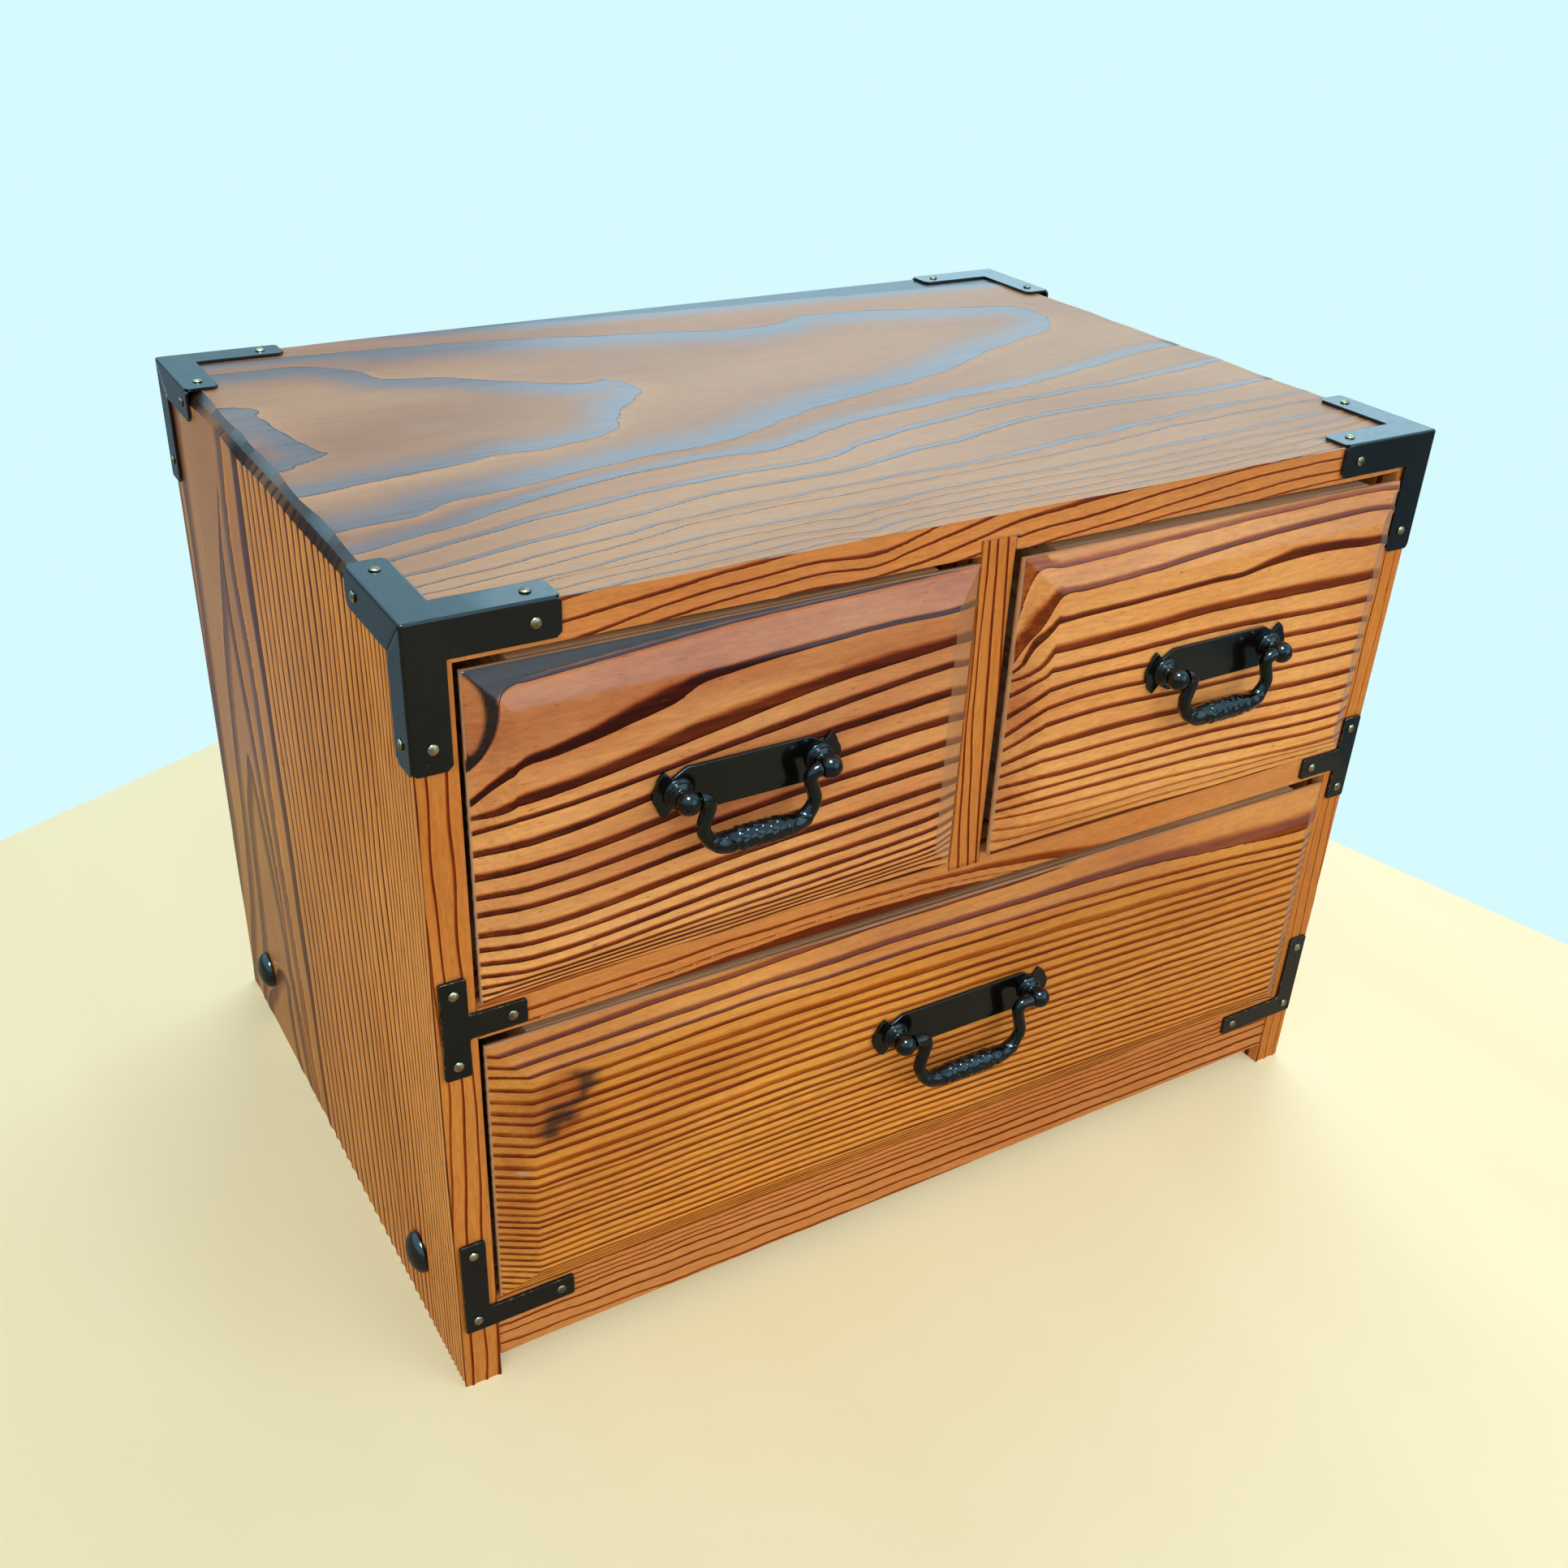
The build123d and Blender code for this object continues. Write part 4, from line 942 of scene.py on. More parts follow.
def darken_arris(piece, vertices, faces, haze, slate=0.0):
    """Scorches and polishes the narrow mitred arris along the ends of the top, patchy along
    its length; haze is the varnish on the rest, slate the greyed lines of a flame."""
    x, y, z = np.abs(vertices[:, 0]), vertices[:, 1], vertices[:, 2]
    on_arris = (x > RIGHT - ARRIS - 1.1) & (z > TOP - ARRIS - 1.1)
    amount = np.clip(0.86 + 0.16 * waves(y, y, 45, 40, 40), 0.4, 0.97)
    corner = corner_vertices(faces)
    dark = np.repeat([all(on_arris[k] for k in face) for face in faces], [len(f) for f in faces])
    set_values(piece.data, "CORNER", {
        "stain": np.where(dark, amount[corner], 0.6 * slate),
        "polish": np.where(dark, 0.36, haze[corner] + 0.6 * slate)})
    smooth_by_angle(piece, 42)


def front_material(piece, material):
    """Gives the faces on the chest's front a second material."""
    piece.data.materials.append(material)
    for polygon in piece.data.polygons:
        if polygon.normal[1] < -0.6 and polygon.center[1] / MM < FRONT + 0.6:
            polygon.material_index = 1


def make_side_board(name, mirror_x):
    """Side board: mitred top end, rebate for the back panel, arris along the top."""
    outer, inner = LEFT, LEFT + BOARD
    figure = right_side_figure if mirror_x else side_figure
    sides = [((outer, FRONT), (inner, FRONT), 26, upright_lines(LEFT_STILE, 51, 0.15)),
             ((inner, FRONT), (inner, PANEL_FRONT), 24, any_lines(2, 1, 8, 52)),
             ((inner, PANEL_FRONT), (inner - REBATE, PANEL_FRONT), 4, None),
             ((inner - REBATE, PANEL_FRONT), (inner - REBATE, BACK), 4, None),
             ((inner - REBATE, BACK), (outer, BACK), 12, any_lines(2, 0, 3, 53)),
             ((outer, BACK), (outer, FRONT), 500, figure)]
    rows = with_stops(even(0, TOP - ARRIS, 2.4), PANEL_LOW)
    board = Board("z", sides, rows, depth=0.38)
    v = board.v
    below = v[..., 2] < PANEL_LOW
    first, last = board.spans[2][0], board.spans[4][0]      # no rebate below the panel
    for i in range(first, last + 1):
        fill = below[:, i]
        v[fill, i, 0] = inner
        v[fill, i, 1] = PANEL_FRONT + (BACK - PANEL_FRONT) * (i - first) / (last - first)
    if not mirror_x:            # the rows of points follow the leaning lines
        on_face = np.arange(board.spans[5][0] + 1, board.spans[5][1])
        at = CENTRE - v[:, on_face, 1]
        lean = side_lean(at) * np.clip((at + 118) / 90, 0, 1)
        v[:, on_face, 1] -= lean * flowing(LEAN, v[:, 0, 2])[:, None]
    x = v[..., 0]
    reach = np.where(x < outer + ARRIS / 2, TOP - ARRIS + (x - outer), TOP - (x - outer))
    v[..., 2] *= reach / (TOP - ARRIS)
    board.relief()
    # the same arris, seen from the side
    out = v[-1, :, 0] < outer + ARRIS / 2 + 0.4
    ragged = np.abs(waves(v[-1, :, 1], v[-1, :, 1], 54, 70, 70, 2)) - 0.5
    v[-2, out, 2] = TOP - ARRIS - 0.2 + ragged[out]
    v[-2, out, 0] = outer + 0.06 + 0.4 * (v[-2, out, 0] - outer)
    v[-1, out, 2] = TOP - ARRIS / 2
    v[-1, out, 0] = outer + ARRIS / 2 + 0.1 + 0.03 * (v[-1, out, 0] - outer)
    vertices, faces, corners = board.mesh()
    if mirror_x:
        vertices = vertices * (-1, 1, 1)
        faces = [f[::-1] for f in faces]
        sizes = [len(f) for f in faces]
        order = np.concatenate([np.arange(s, s + n)[::-1]
                                for s, n in zip(np.cumsum([0] + sizes[:-1]), sizes)])
        corners = {k: a[order] for k, a in corners.items()}
    piece = publish(name + "_wood", vertices, faces, side_cedar, "carcase", [name],
                    corners)
    haze = 0.9 * np.clip((vertices[:, 1] - FRONT - 40) / 140, 0, 1)
    in_flame = np.clip((vertices[:, 1] - FRONT - 155) / 10, 0, 0.0 if mirror_x else 1.0)
    late = np.clip((corners["ring"] % 1 - 1) / np.maximum(corners["band"], 0.01) + 1, 0, 1)
    darken_arris(piece, vertices, faces, haze, late * in_flame[corner_vertices(faces)])
    front_material(piece, stile_cedar)


def make_bar(name, z_low, z_high, figure, y_back, notch=None):
    """Shelf or rail: a board along x whose front edge shows. Above the height of the notch
    its front is set back for the divider."""
    sides = [((FRONT, z_low), (y_back, z_low), 8, any_lines(0, 1, 8, 61)),
             ((y_back, z_low), (y_back, z_high), 3, None),
             ((y_back, z_high), (FRONT, z_high), 8, any_lines(0, 1, 8, 62)),
             ((FRONT, z_high), (FRONT, z_low), int((z_high - z_low) / 0.42), figure)]
    rows = even(LEFT + BOARD, RIGHT - BOARD, 2.0)
    if notch:
        rows = with_stops(rows, -HALF_DIVIDER, HALF_DIVIDER)
    board = Board("x", sides, rows, depth=0.2)
    board.relief()
    if notch:
        recess(board.v, board.v[..., 2] > notch - 0.1)
    vertices, faces, corners = board.mesh()
    publish(name + "_wood", vertices, faces, frame_cedar, "carcase", [name],
            corners)


def make_divider():
    """Upright between the upper drawers, a little rounded at its front arrises."""
    half = HALF_DIVIDER
    sides = [((-half, FRONT), (half, FRONT), 28, upright_lines(DIVIDER_EDGE, 71, 0.1)),
             ((half, FRONT), (half, PANEL_FRONT), 10, any_lines(2, 1, 7, 72)),
             ((half, PANEL_FRONT), (-half, PANEL_FRONT), 3, None),
             ((-half, PANEL_FRONT), (-half, FRONT), 10, any_lines(2, 1, 7, 73))]
    board = Board("z", sides, even(DIVIDER_LOW, DIVIDER_TOP, 2.0), depth=0.25, soften=0.6)
    board.relief()
    vertices, faces, corners = board.mesh()
    publish("drawer_divider_wood", vertices, faces, stile_cedar, "carcase",
            ["drawer_divider"], corners)


# ------------------------------------------------------------------ drawer faces
def bevel_stations(low, high, step):
    """Stations across a raised face, even in both bevels."""
    first = np.linspace(low, low + BEVEL, BEVEL_ROWS + 1)
    middle = even(low + BEVEL, high - BEVEL, step)
    last = np.linspace(high - BEVEL, high, BEVEL_ROWS + 1)
    return np.concatenate([first[:-1], middle, last[1:]])


def patches(places, x, z):
    """Strength of soft spots on a face: (x, z, reach in x, reach in z, amount) each."""
    total = np.zeros(x.shape)
    for at_x, at_z, reach_x, reach_z, amount in places:
        near = ((x - at_x) / reach_x) ** 2 + ((z - at_z) / reach_z) ** 2
        total = np.maximum(total, amount * np.exp(-near * 1.4))
    return total


def mitred_cells(number):
    """Faces of a raised front: quads, but triangles along the mitres of its bevels."""
    rows, columns = number.shape
    quads = around_cells(number).reshape(-1, 4)
    i, j = np.divmod(np.arange(len(quads)), columns - 1)
    left, right = j < BEVEL_ROWS, j >= columns - 1 - BEVEL_ROWS
    under, over = i < BEVEL_ROWS, i >= rows - 1 - BEVEL_ROWS
    from_right, from_top = columns - 2 - j, rows - 2 - i
    rising = (under & left & (i == j)) | (over & right & (from_top == from_right))
    falling = (under & right & (i == from_right)) | (over & left & (from_top == j))
    faces = []
    for q, up, down in zip(quads.tolist(), rising, falling):
        if up:
            faces += [(q[0], q[1], q[2]), (q[0], q[2], q[3])]
        elif down:
            faces += [(q[0], q[1], q[3]), (q[1], q[2], q[3])]
        else:
            faces.append(tuple(q))
    return faces


def with_rim(points, y_back):
    """Closes a front at the back: adds a rim of two rows behind its border, then one flat
    face. Gives vertices, faces of rim and back, and each vertex's own place on the front."""
    number = np.arange(points.shape[0] * points.shape[1]).reshape(points.shape[:2])
    border = np.concatenate([number[0, :-1], number[:-1, -1], number[-1, :0:-1],
                             number[:0:-1, 0]])
    front = points.reshape(-1, 3)
    vertices, loops = [front], [border]
    for share in (0.5, 1.0):
        row = front[border]
        row[:, 1] += (y_back - row[:, 1]) * share
        vertices.append(row)
        loops.append(len(front) + (len(loops) - 1) * len(border) + np.arange(len(border)))
    faces = []
    for a, b in zip(loops[:-1], loops[1:]):
        faces += np.stack([a, b, np.roll(b, -1), np.roll(a, -1)], 1).tolist()
    faces.append(loops[-1][::-1].tolist())
    return np.concatenate(vertices), faces, np.concatenate([number.ravel(), border, border])


def make_face(place, figure, material, seed, heart, shine, knots, dark=(), chips=()):
    """Drawer face: thin edge, bevelled border with mitres, flat raised field.

    heart: how much darker and redder the wood gets towards the top; shine: varnish left on
    the upper bevel. Dark are outlines of hard dark wood with the amount of stain and how soft
    they end; knots are reddish patches, chips bare ones."""
    low, high = edges(place + "_face")
    x, z = np.meshgrid(bevel_stations(low[0], high[0], 2.2),
                       bevel_stations(low[2], high[2], 0.42))
    shape = x.shape
    insets = np.stack([x - low[0], high[0] - x, high[2] - z, z - low[2]])
    inset, side = insets.min(0), insets.argmin(0)       # sides: left, right, top, foot
    crest = np.clip((inset - BEVEL + 0.7) / 1.4, 0, 1)
    y = (high[1] - FACE_EDGE - RAISE * np.clip(inset / BEVEL, 0, 1)
         + 0.1 * np.sin(np.pi * crest))
    polish = (np.array([0.1, 1.0, shine, 0.15])[side]
              * np.clip((BEVEL - inset) / 0.9, 0, 1))
    points = np.stack([x, y, z], -1)
    chart = ring, strength, width, spacing = figure(points.reshape(-1, 3))
    hard = hardness(ring, strength, np.minimum(width, 0.5), spacing)
    stain = np.zeros(x.size)
    for outline, amount, soft in dark:
        gap, inside = distance_inside(dense(outline, 4), x.ravel(), z.ravel())
        stain = np.maximum(stain, amount * np.clip(0.5 + np.where(inside, gap, -gap) / soft, 0, 1))
    hard = np.maximum(hard, stain).reshape(shape)
    uneven = waves(x.ravel(), z.ravel(), seed, 60, 30).reshape(shape)
    points[..., 1] += 0.42 * (1 - hard) + 0.05 * (1 + uneven)       # brushed relief
    pull = 0.15 * (1 - hard)                        # and a little of it on the thin edges
    points[:, 0, 0] += pull[:, 0]
    points[:, -1, 0] -= pull[:, -1]
    points[0, :, 2] += 0.4 * pull[0]
    points[-1, :, 2] -= 0.4 * pull[-1]

    height = (z - low[2]) / (high[2] - low[2])
    cloudy = waves(x.ravel(), z.ravel(), seed + 40, 90, 40).reshape(shape)
    red = heart * height**2.5 + 0.07 * cloudy * (0.4 + heart)
    red = np.clip(np.maximum(red, patches(knots, x, z)), 0, 1)
    bare = np.clip(2.5 * patches(chips, x, z), 0, 1)
    # the pale veil on the right bevel is a painted sheen, where that bevel catches the light
    bare = np.maximum(bare, np.where((side == 1) & (inset < BEVEL - 0.5), 0.26, 0))
    bare[:, 0] = 1.0                                # a raw edge at the left

    faces = mitred_cells(np.arange(x.size).reshape(shape))
    on_front = len(corner_vertices(faces))
    vertices, rim, own = with_rim(points, high[1])
    faces += rim
    corner = own[corner_vertices(faces)]
    corners = {key: value[corner] for key, value in zip(CHART, chart)}
    corners["strength"][on_front:] *= 0.5
    corners["raw"] = bare.ravel()[corner]
    corners["raw"][on_front:] = 0.8
    behind = np.zeros(len(vertices) - x.size)
    values = {key: np.concatenate([value.ravel(), behind])
              for key, value in (("stain", stain), ("heart", red), ("polish", polish))}
    publish(place + "_face_wood", vertices, faces, material, place + "_drawer",
            [place + "_face"], corners, values)


# ------------------------------------------------------------------ metal shapes
def lathe(profile, at, direction, segments):
    """Closed turned shell. Its profile runs from bottom to top as (radius, height, edge
    value) points, and both ends lie on the axis."""
    z = Vector(direction).normalized()
    side = z.orthogonal().normalized()
    other = z.cross(side)
    angle = np.linspace(0, 2 * np.pi, segments, endpoint=False)
    circle = np.outer(np.cos(angle), side) + np.outer(np.sin(angle), other)
    at, z = np.array(at, float), np.array(z)
    inner = profile[1:-1]
    vertices = [at + z * profile[0][1]]
    for radius, height, _ in inner:
        vertices += list(at + z * height + circle * radius)
    vertices.append(at + z * profile[-1][1])
    values = [profile[0][2]] + [e for _, _, e in inner for _ in range(segments)] + [profile[-1][2]]
    last = 1 + len(inner) * segments
    faces = []
    for j in range(segments):
        k = (j + 1) % segments
        faces.append((0, 1 + k, 1 + j))
        for i in range(len(inner) - 1):
            a, b = 1 + i * segments, 1 + (i + 1) * segments
            faces.append((a + j, a + k, b + k, b + j))
        a = 1 + (len(inner) - 1) * segments
        faces.append((a + j, a + k, last))
    return np.array(vertices), faces, np.array(values)


def nail(size):
    """Profile of a nail from its tip to the crown of its domed head."""
    radius, height, shank, length, steps = 1.6 * size, 0.9 * size, 0.6, 7.4, 7
    profile = [(0, -length, 0), (shank * 0.4, -length + 1.0, 0), (shank, -length + 2.2, 0),
               (shank, 0.0, 1), (radius * 0.96, 0.0, 1.0)]
    for i in range(steps + 1):
        t = i / steps * math.pi / 2
        edge = 1.0 if i == 0 else max(0.0, 0.75 - i * 0.2)
        profile.append((radius * math.cos(t) if i < steps else 0,
                        0.12 + (height - 0.12) * math.sin(t), edge))
    return profile


def nails(node, places):
    """Brass domed nails of one set of mounts, each a little different."""
    name = node + "_brass"
    rng = np.random.default_rng(len(name))
    shells = []
    for at, direction in places:
        tilt = Vector(rng.uniform(-0.05, 0.05, 3))
        outward = (tilt - Vector(direction)).normalized()
        shells.append(lathe(nail(rng.uniform(0.97, 1.0)), at, outward, 28))
    vertices, faces, edge = joined(shells)
    piece = publish(name, vertices, faces, nail_brass, "carcase", [node],
                    points={"edge": edge})
    smooth_by_angle(piece, 50)


def offset_outline(outline, distance):
    """Closed outline moved inward, for an anticlockwise one."""
    p = np.asarray(outline, float)
    before, after = p - np.roll(p, 1, 0), np.roll(p, -1, 0) - p
    before /= np.linalg.norm(before, axis=1)[:, None]
    after /= np.linalg.norm(after, axis=1)[:, None]
    n1 = np.stack([-before[:, 1], before[:, 0]], 1)
    n2 = np.stack([-after[:, 1], after[:, 0]], 1)
    n = n1 + n2
    n /= np.maximum(np.linalg.norm(n, axis=1), 1e-6)[:, None]
    stretch = 1 / np.maximum((n * n1).sum(1), 0.5)
    return p + n * (distance * stretch)[:, None]


def sheet_plate(outline, roll):
    """Closed flat plate from an anticlockwise (x, z) outline, its front edge rolled over.

    Heights grow towards the viewer. Returns (x, height, z) vertices, faces, edge values."""
    steps = [(0.0, 0.0, 0.3), (0.0, SHEET - roll, 0.8)]
    steps += [(roll * (1 - math.cos(a)), SHEET - roll + roll * math.sin(a), 1.0)
              for a in np.linspace(0, np.pi / 2, 4)[1:]]
    steps.append((0.42, SHEET, 0.0))
    loops, values = [], []
    for inset, height, edge in steps:
        ring = offset_outline(outline, inset)
        loops.append(np.stack([ring[:, 0], np.full(len(ring), height), ring[:, 1]], 1))
        values.append(np.full(len(ring), edge))
    count = len(outline)
    faces = [tuple(range(count - 1, -1, -1))]
    for i in range(len(steps) - 1):
        a, b = i * count, (i + 1) * count
        faces += [(a + j, a + (j + 1) % count, b + (j + 1) % count, b + j)
                  for j in range(count)]
    faces.append(tuple(range((len(steps) - 1) * count, len(steps) * count)))
    return np.concatenate(loops), faces, np.concatenate(values)


def rounded(outline, radius):
    """Outline with each corner replaced by an arc."""
    p = np.asarray(outline, float)
    out, steps = [], 4
    for i in range(len(p)):
        a, b, c = p[i - 1], p[i], p[(i + 1) % len(p)]
        u, w = (a - b) / np.linalg.norm(a - b), (c - b) / np.linalg.norm(c - b)
        half = math.acos(np.clip(u @ w, -1, 1)) / 2
        cut = min(radius / math.tan(half), 0.45 * np.linalg.norm(a - b),
                  0.45 * np.linalg.norm(c - b))
        start, end = b + u * cut, b + w * cut
        for t in np.linspace(0, 1, steps + 1):
            out.append((1 - t) ** 2 * start + 2 * t * (1 - t) * b + t * t * end)
    return np.array(out)


def front_plate(node, outline, y_front, material, body, roll=0.22):
    """Flat plate on a front, from its anticlockwise outline in x and z."""
    v, faces, edge = sheet_plate(outline, roll)
    v[:, 1] = y_front - v[:, 1]
    piece = publish(node + "_iron", v, faces, material, body, [node],
                    points={"edge": edge})
    smooth_by_angle(piece, 35)


def make_flat_plates():
    """T and L plates on both stiles."""
    (x0, _, z0), (x1, _, z1) = edges("t_plate_left")
    stem, z_arm = x0 + PLATE, (z0 + z1) / 2
    tee = [(x0, z0), (stem, z0), (stem, z_arm - PLATE / 2), (x1, z_arm - PLATE / 2),
           (x1, z_arm + PLATE / 2), (stem, z_arm + PLATE / 2), (stem, z1), (x0, z1)]
    (x0, _, z0), (x1, _, z1) = edges("l_plate_left")
    stem = x0 + PLATE
    ell = [(x0, z0), (x1, z0), (x1, z0 + PLATE), (stem, z0 + PLATE), (stem, z1), (x0, z1)]
    for side in ("left", "right"):
        for kind, corners in (("t", tee), ("l", ell)):
            outline = rounded(corners, 1.0)
            if side == "right":
                outline = (outline * (-1, 1))[::-1]
            front_plate(f"{kind}_plate_{side}", outline, FRONT, mount_iron, "carcase")


def corner_grid():
    """Outer skin of a corner mount: distances from its corner, and the cells that are kept."""
    cuts = sorted({0.0, 0.3, 0.6, 0.9, 1.3, 3.5, 6.0, 8.5, MOUNT_WIDE - 0.6, MOUNT_WIDE - 0.25,
                   MOUNT_WIDE, MOUNT_WIDE + 2, 16.0, 20.0, 24.0, 28.0, 32.0, 36.0,
                   MOUNT_ARM - MOUNT_CLIP, MOUNT_ARM - 0.6, MOUNT_ARM - 0.25, MOUNT_ARM})
    spans = range(len(cuts) - 1)
    return cuts, [(i, j) for i in spans for j in spans
                  if cuts[i + 1] <= MOUNT_WIDE or cuts[j + 1] <= MOUNT_WIDE]


def clipped(u, v):
    """Cuts off both corners at an arm's end by sliding its last rows inward."""
    if v > u:
        return clipped(v, u)[::-1]
    over = u - (MOUNT_ARM - MOUNT_CLIP)
    return u, min(max(v, over), MOUNT_WIDE - over) if over > 0 else v


def make_corner(node, x_side, y_side):
    """Three-way mount: one sheet folded over top, front and side, with a seam on the side."""
    cuts, cells = corner_grid()
    index, points, faces = {}, [], []

    def vertex(p, tag):
        key = (round(p[0], 4), round(p[1], 4), round(p[2], 4), tag)
        if key not in index:
            index[key] = len(points)
            points.append(p)
        return index[key]

    planes = (lambda u, v: (u, v, 0.0), lambda u, v: (u, 0.0, v), lambda u, v: (0.0, u, v))
    for number, plane in enumerate(planes):
        for i, j in cells:
            u0, u1, v0, v1 = cuts[i], cuts[i + 1], cuts[j], cuts[j + 1]
            quad = [clipped(u, v) for u, v in ((u0, v0), (u1, v0), (u1, v1), (u0, v1))]
            seamed = number == 2 and u1 <= MOUNT_WIDE and v1 <= MOUNT_WIDE
            parts = [(quad, "low" if i > j else "high")]
            if seamed and i == j:
                a, b, c, d = quad
                joined_end = i == 0 or u1 >= MOUNT_WIDE
                parts = [((a, b, c), "" if joined_end else "low"),
                         ((a, c, d), "" if joined_end else "high")]
            for part, tag in parts:
                face = [vertex(plane(*q), tag if seamed and q[0] == q[1]
                               and 0 < q[0] < MOUNT_WIDE else "") for q in part]
                clean = [f for k, f in enumerate(face) if f != face[k - 1]]
                if len(clean) > 2:
                    faces.append(clean)
    p = np.array(points)
    for key, i in index.items():
        if key[3]:
            shift = SEAM if key[3] == "low" else -SEAM
            p[i] += (0, shift, -shift)
    core = np.maximum(p, MOUNT_BEND)
    away = p - core
    length = np.linalg.norm(away, axis=1)
    bent = length > 1e-9
    p[bent] = core[bent] + away[bent] / length[bent][:, None] * MOUNT_BEND
    for count, (u, v) in enumerate(((0, 1), (0, 2), (1, 2))):
        dent = 0.06 * waves(p[:, u], p[:, v], 80 + count + x_side, 16, 16)
        flat = np.abs(p[:, 3 - u - v]) < 1e-6
        p[flat, 3 - u - v] += np.abs(dent[flat]) * 0.6
    corner = np.array([x_side * (RIGHT + SHEET),
                       (FRONT if y_side < 0 else BACK) + y_side * SHEET, TOP + SHEET])
    p = corner + p * (-x_side, -y_side, -1.0)
    piece = publish(node + "_iron", p, faces, mount_iron, "carcase", [node])
    harden_sheet(piece, SHEET - 0.02)


def harden_sheet(piece, thickness):
    """Thickens an open skin inward, rounds its rims and marks them as edges."""
    work = bmesh.new()
    work.from_mesh(piece.data)
    bmesh.ops.recalc_face_normals(work, faces=work.faces)
    inside = Vector((0, 0, 0.1))
    outward = sum(f.normal.dot(f.calc_center_median() - inside) for f in work.faces)
    if outward < 0:
        bmesh.ops.reverse_faces(work, faces=work.faces)
    work.to_mesh(piece.data)
    work.free()
    thicken = piece.modifiers.new("thickness", "SOLIDIFY")
    thicken.thickness, thicken.offset, thicken.use_even_offset = thickness * MM, -1, True
    thicken.use_rim = True
    round_over = piece.modifiers.new("rim", "BEVEL")
    round_over.width, round_over.segments = 0.2 * MM, 2
    round_over.limit_method, round_over.angle_limit = "ANGLE", math.radians(50)
    bpy.context.view_layer.update()
    shaped = bpy.data.meshes.new_from_object(
        piece.evaluated_get(bpy.context.evaluated_depsgraph_get()))
    piece.modifiers.clear()
    piece.data = shaped
    mark_edges(piece)
    smooth_by_angle(piece, 38)
    piece.data.polygons.foreach_set("use_smooth", [True] * len(piece.data.polygons))


def mark_edges(piece):
    """Edge value of each vertex from how sharply its faces turn."""
    mesh = piece.data
    normals = np.zeros(len(mesh.polygons) * 3)
    mesh.polygons.foreach_get("normal", normals)
    normals = normals.reshape(-1, 3)
    lows = np.full((len(mesh.vertices), 3), 2.0)
    highs = np.full((len(mesh.vertices), 3), -2.0)
    loops = np.zeros(len(mesh.loops), int)
    mesh.loops.foreach_get("vertex_index", loops)
    sizes = np.zeros(len(mesh.polygons), int)
    mesh.polygons.foreach_get("loop_total", sizes)
    owner = np.repeat(np.arange(len(mesh.polygons)), sizes)
    np.minimum.at(lows, loops, normals[owner])
    np.maximum.at(highs, loops, normals[owner])
    turn = np.clip(np.linalg.norm(highs - lows, axis=1) / 0.9, 0, 1)
    set_values(mesh, "POINT", {"edge": turn})


def corner_nail_places(x_side, y_side):
    """Places and directions of the six nails in one corner mount."""
    x_edge, y_edge = x_side * RIGHT, FRONT if y_side < 0 else BACK
    far, near = 33.0, 5.0
    xf, xn = x_edge - x_side * far, x_edge - x_side * near
    yf, yn = y_edge - y_side * far, y_edge - y_side * near
    zf, zn = TOP - far, TOP - near
    side, face, top = x_edge + x_side, y_edge + y_side, TOP + 1
    return [((xf, yn, top), (0, 0, -1)), ((xn, yf, top), (0, 0, -1)),
            ((xf, face, zn), (0, -y_side, 0)), ((xn, face, zf), (0, -y_side, 0)),
            ((side, yf, zn), (-x_side, 0, 0)), ((side, yn, zf), (-x_side, 0, 0))]


def make_nails():
    """All brass nails, in the same sets as the CAD."""
    nails("corner_nails", [n for x in (-1, 1) for y in (-1, 1) for n in corner_nail_places(x, y)])
    from_end = 4.5
    for kind in ("t", "l"):
        (x0, _, z0), (x1, _, z1) = edges(kind + "_plate_left")
        z_arm = (z0 + z1) / 2 if kind == "t" else z0 + PLATE / 2
        spots = [(x0 + PLATE / 2, z1 - from_end), (x0 + PLATE / 2, z0 + from_end),
                 (x1 - from_end, z_arm)]
        nails(kind + "_plate_nails", [((side * x, FRONT - SHEET, z), (0, 1, 0))
                                      for side in (1, -1) for x, z in spots])


def make_caps():
    """Glossy domed covers over the side screws."""
    radius, rim, rise, steps = 7.0, 0.5, 4.0, 12
    profile = [(0, 0.02, 0), (6.5, 0.02, 0), (6.95, 0.12, 0), (radius, rim, 0)]
    for i in range(1, steps + 1):
        t = i / steps * math.pi / 2
        profile.append((radius * math.cos(t) if i < steps else 0, rim + rise * math.sin(t), 0))
    shells = [lathe(profile, (x_side * RIGHT, y, 28.0), (x_side, 0, 0), 48)
              for x_side in (-1, 1) for y in (FRONT + 35, BACK - 35)]
    vertices, faces, edge = joined(shells)
    publish("screw_caps_black", vertices, faces, cap_iron, "carcase", ["screw_caps"],
            points={"edge": edge})


# ------------------------------------------------------------------ handles
def handle_sizes(place):
    """Pivot, post spacing, drop and arm positions of a drawer's handle."""
    pitch, inset, drop = (54.0, 9.3, 18.6) if place == "lower" else (44.0, 7.2, 15.2)
    post_low, post_high = edges(place + "_handle_posts")
    middle, _, pivot_z = (post_low + post_high) / 2
    return middle, post_low[1] + 3.3, pivot_z, pitch, inset, drop


